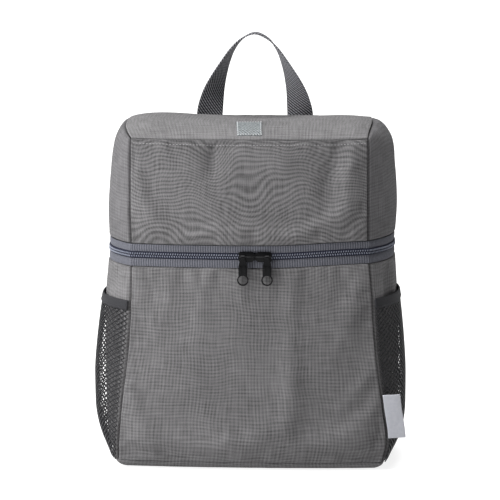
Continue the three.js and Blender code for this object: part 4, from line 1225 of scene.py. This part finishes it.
black_paint = black_finish("black_paint", (0.003, 0.003, 0.0035), 0.22, 0.1)
black_plastic = black_finish("black_plastic", (0.016, 0.016, 0.018), 0.45, 0.3)
for _, word in SIDES:
    rounded_copy(f"{word}_slider", f"slider_{word}", black_paint, 0.35)
    rounded_copy(
        f"{word}_pull_tab", f"pull_{word}", black_paint, 0.3, f"{word}_pull"
    )

# %% [markdown]
# ## Net pockets
#
# The pockets are black net, knitted in small diamonds, and one can see through them where the
# side of the bag falls away behind. A transparent picture would look flat there. The net is a
# lattice of edges bent over the side of the bag, and a tree gives each edge the thickness of its
# strand.

# %% The pocket's shape
POCKET_HEIGHT = 159
HEM_HEIGHT = 9
HEM_THICKNESS = 2
NET_THICKNESS = 1.2
POCKET_BULGE = 9.5
POCKET_MARGIN = 0.004  # as a share of the side, between a pocket and the upright seams
FULL_FROM, FULL_TO = 0.32, 0.5  # the pocket bulges most between these shares of its height
MOUTH_SHARE = 0.12
FULLNESS = {-1: 1, 1: 0.55}  # of the left and the right pocket


def pocket_swell(side, back, up):
    """How far the pocket's cloth lies off the side panel."""
    rise = np.sin((math.pi / 2) * np.minimum(1, up / FULL_FROM))
    fall = lerp(1, MOUTH_SHARE, np.clip((up - FULL_TO) / (1 - FULL_TO), 0, 1) ** 1.4)
    return POCKET_BULGE * FULLNESS[side] * bow(back, 2.2) * rise * fall


def pocket_point(side, back, level, depth, thickness):
    point = side_point(side, back, level, 0.0)
    up = (level - BOTTOM_SEAM_HEIGHT) / (POCKET_HEIGHT - BOTTOM_SEAM_HEIGHT)
    point[..., 0] += side * (CLEARANCE + thickness - depth + pocket_swell(side, back, up))
    return point


# %% The net tree


def net_tree():
    """Turns every edge of a lattice into a strand."""
    nodes = Nodes("net_strands", Radius="Float", Material="Material")
    start = nodes.start
    strands = nodes.add("GeometryNodeMeshToCurve", Mesh=start["Geometry"])[0]
    section_curve = nodes.add(
        "GeometryNodeCurvePrimitiveCircle", Resolution=4, Radius=start["Radius"]
    )[0]
    solid = nodes.add(
        "GeometryNodeCurveToMesh", Curve=strands, Profile_Curve=section_curve, Fill_Caps=True
    )[0]
    return nodes.finish(solid, start["Material"])


NET_TREE = net_tree()
CELL_WIDTH = 7.6  # along the side of the bag
CELL_HEIGHT = 4.6
STRAND = 0.62  # half the width of a strand
NET_FOOT = 1.5  # from the bottom seam up to the net
NET_TUCK = 0.5  # how far the net reaches under its hem


def net_finish(name):
    """Black yarn with fine slanting fibres."""
    tree = Tree(name)
    x, y, z = tree.place()
    fibre = waves(tree, sum_of(tree, (z, 1.0), (y, 0.7)), 0.0005)
    share = tree.math("MULTIPLY_ADD", fibre, 0.5, 0.5)
    tree.colour(share, (0.003, 0.003, 0.004), (0.012, 0.012, 0.014))
    tree.set(Roughness=0.4, Specular_IOR_Level=0.25)
    return tree.material


black_net = net_finish("black_net")


def lattice(side, low, high):
    """A mesh of edges that cross in diamonds over the side of the bag."""
    columns = 2 * round(BODY_DEPTH / CELL_WIDTH)
    rows = 2 * round((high - low) / CELL_HEIGHT)
    i, j = np.meshgrid(np.arange(columns + 1), np.arange(rows + 1), indexing="ij")
    back = lerp(POCKET_MARGIN, 1 - POCKET_MARGIN, i / columns)
    level = lerp(low, high, j / rows)
    points = pocket_point(side, back, level, NET_THICKNESS / 2, NET_THICKNESS).reshape(-1, 3)
    number = i * (rows + 1) + j
    used = (i + j) % 2 == 0
    rising, falling = used[:-1, :-1], used[:-1, 1:]
    up = np.stack([number[:-1, :-1][rising], number[1:, 1:][rising]], -1)
    down = np.stack([number[:-1, 1:][falling], number[1:, :-1][falling]], -1)
    edges = np.concatenate([up, down])
    kept = np.unique(edges)
    order = np.full(len(points), -1)
    order[kept] = np.arange(len(kept))
    mesh = bpy.data.meshes.new("lattice")
    mesh.from_pydata((points[kept] * MM).tolist(), order[edges].tolist(), [])
    return linked("lattice", mesh)


# laid flat, a net is as wide as the side and its swell, and as long as from the base to the hem
for side, word in SIDES:
    top = POCKET_HEIGHT - HEM_HEIGHT + NET_TUCK
    carrier = lattice(side, BOTTOM_SEAM_HEIGHT + NET_FOOT, top)
    net = grown(f"{word}_net", carrier, NET_TREE, Radius=STRAND * MM, Material=black_net)
    dressed(net, f"pocket_net_{word}")

# %% Hems
hem_cloth = ribbed("hem_cloth", (0.005, 0.005, 0.006), (0.024, 0.024, 0.027), 1.4)
HEM_ROW = 1.6  # from the lower edge of a hem to its stitches
HEM_LEVELS = POCKET_HEIGHT - np.array([9.2, 9.0, 8.5, 7.6, 6, 4.4, 3, 1.8, 0.9, 0.3, 0.0])
HEM_TURN = np.array([0.9, 0.45, 0.2, 0.05, 0, 0, 0, 0.05, 0.25, 0.6, 1.0])  # in at each level
backs = np.linspace(POCKET_MARGIN, 1 - POCKET_MARGIN, 90)
back, level = np.meshgrid(backs, HEM_LEVELS, indexing="ij")
for side, word in SIDES:
    outer = pocket_point(side, back, level, HEM_TURN, HEM_THICKNESS)
    inner = pocket_point(side, back, level, HEM_THICKNESS - HEM_TURN * 0.9, HEM_THICKNESS)
    uv = np.stack([back * BODY_DEPTH, level], -1) * MM
    hem = closed_shell(f"{word}_hem", outer, inner, uv, hem_cloth)
    dressed(hem, f"pocket_hem_{word}")
    row_level = POCKET_HEIGHT - HEM_HEIGHT + HEM_ROW
    line = pocket_point(side, backs, row_level, -0.05, HEM_THICKNESS)
    out = np.broadcast_to([side, 0, 0], line.shape)
    stitches(f"{word}_hem_stitches", [(line, out)], finish=dark_thread)

# %% [markdown]
# ## Carry handle
#
# The handle is one length of 25 mm webbing. Both ends are sewn flat to the back, and in between
# it turns through a quarter twist on each leg, so that its edge faces the camera at the peak. It
# could be a curve with a bevel, but a band needs its width turned by a rule. So rings of points
# are set along a smooth path, each turned by its share of the twist.

# %% Smooth paths


def smooth_path(knots, count):
    """Evenly spaced points on a centripetal curve through knots, and its directions there."""
    knots = np.asarray(knots, float)
    knots = np.concatenate([[2 * knots[0] - knots[1]], knots, [2 * knots[-1] - knots[-2]]])
    pieces = []
    for p0, p1, p2, p3 in zip(knots, knots[1:], knots[2:], knots[3:]):
        d0, d1, d2 = (
            max(float(((b - a) ** 2).sum()) ** 0.25, 1e-4)
            for a, b in ((p0, p1), (p1, p2), (p2, p3))
        )
        leave = ((p1 - p0) / d0 - (p2 - p0) / (d0 + d1) + (p2 - p1) / d1) * d1
        arrive = ((p2 - p1) / d1 - (p3 - p1) / (d1 + d2) + (p3 - p2) / d2) * d1
        t = np.linspace(0, 1, 60, endpoint=False)[:, None]
        pieces.append(
            p1 + leave * t
            + (-3 * p1 + 3 * p2 - 2 * leave - arrive) * t**2
            + (2 * p1 - 2 * p2 + leave + arrive) * t**3
        )
    fine = np.concatenate([*pieces, knots[-2:-1]])
    run = np.concatenate([[0], np.cumsum(np.linalg.norm(np.diff(fine, axis=0), axis=-1))])
    even = np.linspace(0, run[-1], count)
    points = np.stack([np.interp(even, run, fine[:, k]) for k in range(3)], -1)
    tangents = np.gradient(points, axis=0)
    tangents /= np.linalg.norm(tangents, axis=-1, keepdims=True)
    return points, tangents, even


def unit(vectors):
    return vectors / np.linalg.norm(vectors, axis=-1, keepdims=True)


def flat_outline(width, thickness, lines=9):
    """A flat bar's outline with rounded edges: places across and off its middle."""
    w, t = width / 2, thickness / 2
    r = min(t, 0.8)
    top = np.linspace(-(w - r), w - r, lines)
    corner = np.array([[w - r * 0.3, t * 0.75], [w, 0.0], [w - r * 0.3, -t * 0.75]])
    face = np.stack([top, np.full(lines, t)], -1)
    return np.concatenate([face, corner, -face, -corner])


def banded(name, points, tangents, across, outline, finish, run):
    """A band: an outline carried along a path. across is the direction of its width."""
    across = unit(across - (across * tangents).sum(-1, keepdims=True) * tangents)
    out = unit(np.cross(across, tangents))
    outline = np.broadcast_to(outline, (len(points), *np.shape(outline)[-2:]))
    wide, off = across[:, None] * outline[..., :1], out[:, None] * outline[..., 1:]
    return closed_loft(name, points[:, None] + wide + off, finish, run)


# %% Webbing finish


def twill(name, dark, light, pitch):
    """Webbing: ribs along it that a diagonal twill crosses."""
    tree = Tree(name)
    u, v, _ = tree.place("weave")
    diagonal = waves(tree, tree.math("ADD", u, v), pitch)
    rib = waves(tree, v, pitch * 0.8)
    dash = tree.math("MULTIPLY", tree.math("MULTIPLY_ADD", rib, 0.5, 0.5), diagonal)
    share = sum_of(tree, (diagonal, 0.25), (dash, 0.6), (tree.noise(500, 2), 0.4), base=0.1)
    tree.colour(share, dark, light)
    tree.bump(tree.math("MULTIPLY", diagonal, rib), 0.00025, 0.7)
    tree.set(Roughness=0.8, Specular_IOR_Level=0.15, Sheen_Weight=0.02)
    return tree.material


webbing = twill("grey_webbing", (0.01, 0.01, 0.012), (0.26, 0.26, 0.28), 0.003)

# %% The handle
WEBBING_THICKNESS = 1.6
HANDLE_WIDTH = 25
HANDLE_SPACING = 88
HANDLE_ACROSS = -4
HANDLE_RISE = 79.5
HANDLE_TAIL = 16
HANDLE_ARCH = [
    (1.0, 0.0), (0.93, 0.24), (0.83, 0.42), (0.66, 0.64), (0.49, 0.81), (0.27, 0.94), (0.0, 1.0),
]


def back_face(x, height):
    """A point of the back panel's face, at a place in millimetres."""
    up = (height - ZIP_HEIGHT) / (BACK_SEAM_HEIGHT - ZIP_HEIGHT)
    level = height if up < 0 else lerp(ZIP_HEIGHT, FRONT_SEAM_HEIGHT, up)
    plan = section(level)
    return back_point(((x - plan["middle"]) / plan["back"] + 1) / 2, level, 0.0)


half_span = HANDLE_SPACING / 2
tail_height = BACK_SEAM_HEIGHT - HANDLE_TAIL
inner_edge = HANDLE_ACROSS + half_span - HANDLE_WIDTH / 2
handle_y = float(back_face(inner_edge, tail_height)[1]) + CLEARANCE + WEBBING_THICKNESS / 2
leg = [(half_span, tail_height)] + [
    (across * half_span, BACK_SEAM_HEIGHT + up * HANDLE_RISE) for across, up in HANDLE_ARCH
]
knots = [(-x, z) for x, z in leg] + leg[::-1][1:]
path = [(HANDLE_ACROSS + x, handle_y, z) for x, z in knots]
points, tangents, run = smooth_path(path, 240)
share = run / run[-1]
tail_share = HANDLE_TAIL / run[-1]
way = np.clip((np.minimum(share, 1 - share) - tail_share) / (0.5 - tail_share), 0, 1)
twist = (math.pi / 2) * (1 - (1 - way) ** 2)
inward = np.stack([tangents[:, 2], np.zeros(len(points)), -tangents[:, 0]], -1)
backward = np.array([0, 1, 0])
across = inward * np.cos(twist)[:, None] + backward * np.sin(twist)[:, None]
outline = flat_outline(HANDLE_WIDTH, WEBBING_THICKNESS)
handle = banded("handle", points, tangents, across, outline, webbing, run)
dressed(handle, "carry_handle")
print("handle webbing is", round(float(run[-1])), "mm long")

# %% [markdown]
# ## Patch and label
#
# A small woven patch is sewn on the lid next to the front seam, and a folded satin label is
# caught in the right front seam. Both are left bare. The patch is laid on the lid's own skin, so
# it follows the hollow of the lid, and its border is a row of stitches.

# %% Woven patch
PATCH_WIDTH = 23
PATCH_LENGTH = 30
PATCH_THICKNESS = 0.8
PATCH_SETBACK = 4
PATCH_ACROSS = 1.1
PATCH_CLEAR = 0.1  # between the patch and the lid
PATCH_EDGE = 0.15  # how far its very edge stands off the lid
PATCH_BORDER = 1.0  # from its edge to its stitches


def on_skin(name, u, v, lift=0.0):
    """Points at places in millimetres on a dressed panel, and the way out of it there."""
    us, vs, outer, outward = SKINS[name]

    def read(grid):
        i = np.clip(np.searchsorted(us, u) - 1, 0, len(us) - 2)
        j = np.clip(np.searchsorted(vs, v) - 1, 0, len(vs) - 2)
        a = ((u - us[i]) / (us[i + 1] - us[i]))[..., None]
        b = ((v - vs[j]) / (vs[j + 1] - vs[j]))[..., None]
        low = lerp(grid[i, j], grid[i + 1, j], a)
        high = lerp(grid[i, j + 1], grid[i + 1, j + 1], a)
        return lerp(low, high, b)

    out = unit(read(outward))
    return read(outer) + out * lift, out


def patch_finish(name):
    """A coarse pale weave with a diagonal."""
    tree = Tree(name)
    u, v, _ = tree.place("weave")
    diagonal = waves(tree, sum_of(tree, (u, 0.8), (v, 0.6)), 0.0023)
    yarns = tree.noise(420, 2, (1, 2.2, 1))
    share = sum_of(tree, (diagonal, 0.2), (yarns, 1.5), base=-0.42)
    tree.colour(share, (0.035, 0.04, 0.043), (0.27, 0.29, 0.295))
    tree.bump(diagonal, 0.00015, 0.6)
    tree.set(Roughness=0.7, Specular_IOR_Level=0.2)
    return tree.material


patch_cloth = patch_finish("woven_patch")
left = FRONT_WIDTH / 2 + PATCH_ACROSS - PATCH_WIDTH / 2
us = np.linspace(left, left + PATCH_WIDTH, 24)
vs = np.linspace(PATCH_SETBACK, PATCH_SETBACK + PATCH_LENGTH, 24)
u, v = np.meshgrid(us, vs, indexing="ij")
edge = np.minimum.reduce([u - us[0], us[-1] - u, v - vs[0], vs[-1] - v])
lift = PATCH_EDGE + PATCH_THICKNESS * smoothstep(edge, -0.6, 1.2)
outer, _ = on_skin("top_cloth", u, v, lift[..., None])
inner, _ = on_skin("top_cloth", u, v, PATCH_CLEAR)
patch = closed_shell("woven_patch", outer, inner, np.stack([u, v], -1) * MM, patch_cloth)
dressed(patch, "top_patch")
u0, u1 = us[0] + PATCH_BORDER, us[-1] - PATCH_BORDER
v0, v1 = vs[0] + PATCH_BORDER, vs[-1] - PATCH_BORDER
corners = [(u0, v0), (u1, v0), (u1, v1), (u0, v1), (u0, v0)]
pale_thread = thread_finish("pale_thread", (0.5, 0.51, 0.52))
rows = []
for start, end in zip(corners, corners[1:]):
    share = np.linspace(0, 1, 20)
    line_u, line_v = (lerp(first, last, share) for first, last in zip(start, end))
    rows.append(on_skin("top_cloth", line_u, line_v, PATCH_EDGE + PATCH_THICKNESS))
stitches("patch_stitches", rows, finish=pale_thread, pitch=0.0022)

# %% Satin label
LABEL_WIDTH = 16
LABEL_LENGTH = 40
LABEL_BOTTOM = 31
LABEL_THICKNESS = 0.8
LABEL_TURN = 0.25
LABEL_CURL = 1.5
LABEL_RIPPLE = 0.5
LABEL_EDGE = 0.9  # how far its rounded edge reaches in
LABEL_ROUND = 0.3


def label_point(out, level, depth):
    """A point of the label, out being 0 at the seam and 1 at its free edge."""
    seam = front_point(1.0, level, 0.0)
    back = out * LABEL_WIDTH * LABEL_TURN + LABEL_CURL * out * out
    x = seam[..., 0] + CLEARANCE + out * LABEL_WIDTH
    y = seam[..., 1] - CLEARANCE - LABEL_THICKNESS + depth + back
    return stacked(x, y, seam[..., 2])


def satin(name, dark, light):
    """Smooth cloth with fine level lines."""
    tree = Tree(name)
    u, v, _ = tree.place("weave")
    line = waves(tree, v, 0.0008)
    share = sum_of(tree, (line, 0.2), (tree.noise(300, 3), 0.7), base=0.15)
    tree.colour(share, dark, light)
    tree.bump(line, 0.00006, 0.5)
    tree.set(Roughness=0.38, Sheen_Weight=0.3)
    return tree.material


label_satin = satin("label_satin", (0.235, 0.24, 0.265), (0.365, 0.37, 0.405))
outs, heights = np.linspace(0, 1, 26), np.linspace(LABEL_BOTTOM, LABEL_BOTTOM + LABEL_LENGTH, 60)
out, level = np.meshgrid(outs, heights, indexing="ij")
ripple = LABEL_RIPPLE * soft_noise(level / 14, out * 1.3, 5) * out
rim = np.minimum.reduce([(1 - out) * LABEL_WIDTH, level - heights[0], heights[-1] - level])
soft = LABEL_ROUND * (1 - smoothstep(rim, 0, LABEL_EDGE))
outer = label_point(out, level, ripple + soft)
inner = label_point(out, level, LABEL_THICKNESS + ripple - soft)
label_uv = np.stack([out * LABEL_WIDTH, level], -1) * MM
label = closed_shell("satin_label", outer, inner, label_uv, label_satin)
dressed(label, "side_label")

# %% [markdown]
# ## Shoulder straps
#
# Two padded straps hang on the back, where the photograph doesn't show them, so they are plain.
# A padded strap is thick in its middle and flat at its bound edges, where the foam stops and a
# row of stitches runs. Each is carried along the same path as its solid. Below it come a loop of
# webbing, a ladder lock and the lower webbing that is sewn to the back.

# %% Paths of the straps
STRAP_TOP = 292
STRAP_DROP = 178
STRAP_WIDTH = 56
STRAP_TIP_WIDTH = 30
STRAP_THICKNESS = 9
STRAP_TIP_THICKNESS = 3
STRAP_STANDOFF = 24
STRAP_ACROSS = 42
STRAP_SPLAY = 38
LOCK_THICKNESS = 3.2
LOCK_BAR = 3.2
LOCK_SLOT = 6
WEBBING_WIDTH = 25
LOOP_OVERLAP = 16
ANCHOR_HEIGHT = 30
ANCHOR_LENGTH = 18
ANCHOR_ACROSS = 104
STRAP_PATH = [
    (0.0, 0.0, 0.0), (0.09, 0.03, 0.02), (0.3, 0.62, 0.12), (0.55, 1.0, 0.34),
    (0.8, 0.82, 0.68), (1.0, 0.45, 1.0),
]
LOOP_OUT = LOCK_THICKNESS / 2 + CLEARANCE + WEBBING_THICKNESS / 2
LOOP_REACH = LOCK_BAR + 2 * CLEARANCE
BACKWARDS = np.array([0.0, 1.0, 0.0])
EDGE_HALF = 1.3  # half the thickness of the bound edge
EDGE_WIDTH = 5.0
PAD_FROM = 14.0  # how far in from its edge a strap is fully padded
STRAP_ROW = 3.4  # from the edge of a strap to its stitches
ROW_OUT = 1.45  # from the middle of its thickness to its stitches


def strap_knots(side):
    """The points that the middle of a strap passes through."""
    rows = []
    for down, out, across in STRAP_PATH:
        x = STRAP_ACROSS + across * STRAP_SPLAY
        height = STRAP_TOP - down * STRAP_DROP
        skin = float(back_face(x - STRAP_WIDTH / 2, height)[1])
        lift = CLEARANCE + STRAP_THICKNESS / 2 + out * STRAP_STANDOFF
        rows.append((side * x, skin + lift, height))
    return rows


def strap_outline(width, thickness, lines=25):
    """Thick in the middle, flat at the bound edges."""
    place = np.linspace(-1, 1, lines)
    pad = smoothstep(1 - np.abs(place), EDGE_WIDTH / (width / 2), PAD_FROM / (width / 2))
    half_thick = EDGE_HALF + (thickness / 2 - EDGE_HALF) * np.sqrt(np.clip(pad, 0, 1))
    half_thick[[0, -1]] = 0.35
    top = np.stack([place * width / 2, half_thick], -1)
    return np.concatenate([top, top[::-1] * [1, -1]])


def level_across(tangents):
    """The level direction across a band that hangs behind the back."""
    return unit(np.cross(tangents, BACKWARDS))


# %% Padded straps


def padded_strap(side, word):
    """A strap with its rows of stitches. It returns the last point and the last direction."""
    points, tangents, run = smooth_path(strap_knots(side), 110)
    share = run / run[-1]
    tip_share = (LOOP_OVERLAP + 2) / run[-1]
    tip = np.clip((share - 1 + tip_share * 2) / tip_share, 0, 1)
    top = np.clip(1 - share / tip_share, 0, 1)
    flat = lerp(STRAP_THICKNESS, STRAP_TIP_THICKNESS, tip)
    thicknesses = lerp(flat, STRAP_THICKNESS * 0.6, top)
    widths = lerp(STRAP_WIDTH, STRAP_TIP_WIDTH, tip**2)
    outlines = np.stack([strap_outline(w, t) for w, t in zip(widths, thicknesses)])
    sideways = level_across(tangents)
    strap = banded(f"{word}_strap", points, tangents, sideways, outlines, cloth, run)
    dressed(strap, f"shoulder_strap_{word}")
    outwards = unit(np.cross(sideways, tangents))
    outwards *= np.sign(outwards[:, 1:2])
    rows = []
    for edge in (-1, 1):
        for face in (-1, 1):
            inset = (widths / 2 - STRAP_ROW)[:, None] * edge
            line = points + sideways * inset + outwards * face * ROW_OUT
            rows.append((line[3:-3], (outwards * face)[3:-3]))
    stitches(f"{word}_strap_stitches", rows)
    return points[-1], tangents[-1]


# %% Loop, lock and lower webbing


def lock_frame(tip, down, across):
    """Gives places by how far down from a strap's tip and out of its face they are."""
    out = np.cross(across, down)
    if out[1] < 0:
        out = -out
    origin = tip + down * LOOP_REACH
    return lambda far, off: origin + down * far + out * off


def strap_loop(word, place, lock_across, outline):
    """A loop of webbing from the tip of the strap round the top bar of the lock."""
    turn = LOCK_BAR / 2 + CLEARANCE + WEBBING_THICKNESS / 2
    loop_top = -LOOP_REACH - LOOP_OVERLAP
    loop = [
        (loop_top, LOOP_OUT), (-LOCK_BAR, LOOP_OUT), (turn - LOCK_BAR / 2, LOOP_OUT * 0.8),
        (turn - LOCK_BAR / 2 + 0.9, 0), (turn - LOCK_BAR / 2, -LOOP_OUT * 0.8),
        (-LOCK_BAR, -LOOP_OUT), (loop_top, -LOOP_OUT),
    ]
    points, tangents, run = smooth_path([place(*knot) for knot in loop], 60)
    across = np.broadcast_to(lock_across, points.shape)
    band = banded(f"{word}_loop", points, tangents, across, outline, webbing, run)
    dressed(band, f"strap_loop_{word}")


def lower_webbing(side, word, place, outline):
    """Webbing that is woven through the lock and sewn to the back near the floor."""
    pitch = LOCK_SLOT + LOCK_BAR
    through = [
        (pitch - LOCK_BAR, -LOOP_OUT - 1), (pitch + LOCK_SLOT * 0.4, -LOOP_OUT * 0.6),
        (2 * pitch - LOCK_BAR * 1.1, LOOP_OUT), (2 * pitch + LOCK_BAR * 0.1, LOOP_OUT),
        (2 * pitch + LOCK_SLOT * 0.55, 0), (3 * pitch - LOCK_BAR, -LOOP_OUT),
        (3 * pitch + LOCK_SLOT * 0.65, -LOOP_OUT - 0.5),
    ]
    knots = [place(*knot) for knot in through]
    for height in (ANCHOR_HEIGHT + ANCHOR_LENGTH / 2, ANCHOR_HEIGHT - ANCHOR_LENGTH / 2):
        skin = float(back_face(ANCHOR_ACROSS - WEBBING_WIDTH / 2, height)[1])
        knots.append((side * ANCHOR_ACROSS, skin + CLEARANCE + WEBBING_THICKNESS / 2, height))
    points, tangents, run = smooth_path(knots, 150)
    across = level_across(tangents)
    band = banded(f"{word}_lower_webbing", points, tangents, across, outline, webbing, run)
    dressed(band, f"strap_webbing_{word}")


# %% Both straps with what hangs from them
outline = flat_outline(WEBBING_WIDTH, WEBBING_THICKNESS)
for side, word in SIDES:
    tip, down = padded_strap(side, word)
    across = level_across(down)
    place = lock_frame(tip, down, across)
    strap_loop(word, place, across, outline)
    lower_webbing(side, word, place, outline)
    rounded_copy(f"{word}_lock", f"ladder_lock_{word}", black_plastic, 0.5)

# %% [markdown]
# ## Topstitching
#
# A row of thread runs under the top seam of the lid's front and holds the turned edge flat. The
# row could be drawn at one height, but it lies in a groove that the thread has pulled. So it
# follows the panel's own skin, and sinks with every pucker.

# %% Row of topstitching
across = np.linspace(4, FRONT_WIDTH - 4, 160)
row_height = np.full(len(across), TOP_LEVEL - UPPER_EDGE - STITCH_ROW)
stitches("lid_stitches", [on_skin("front_lid_cloth", across, row_height, 0.05)])
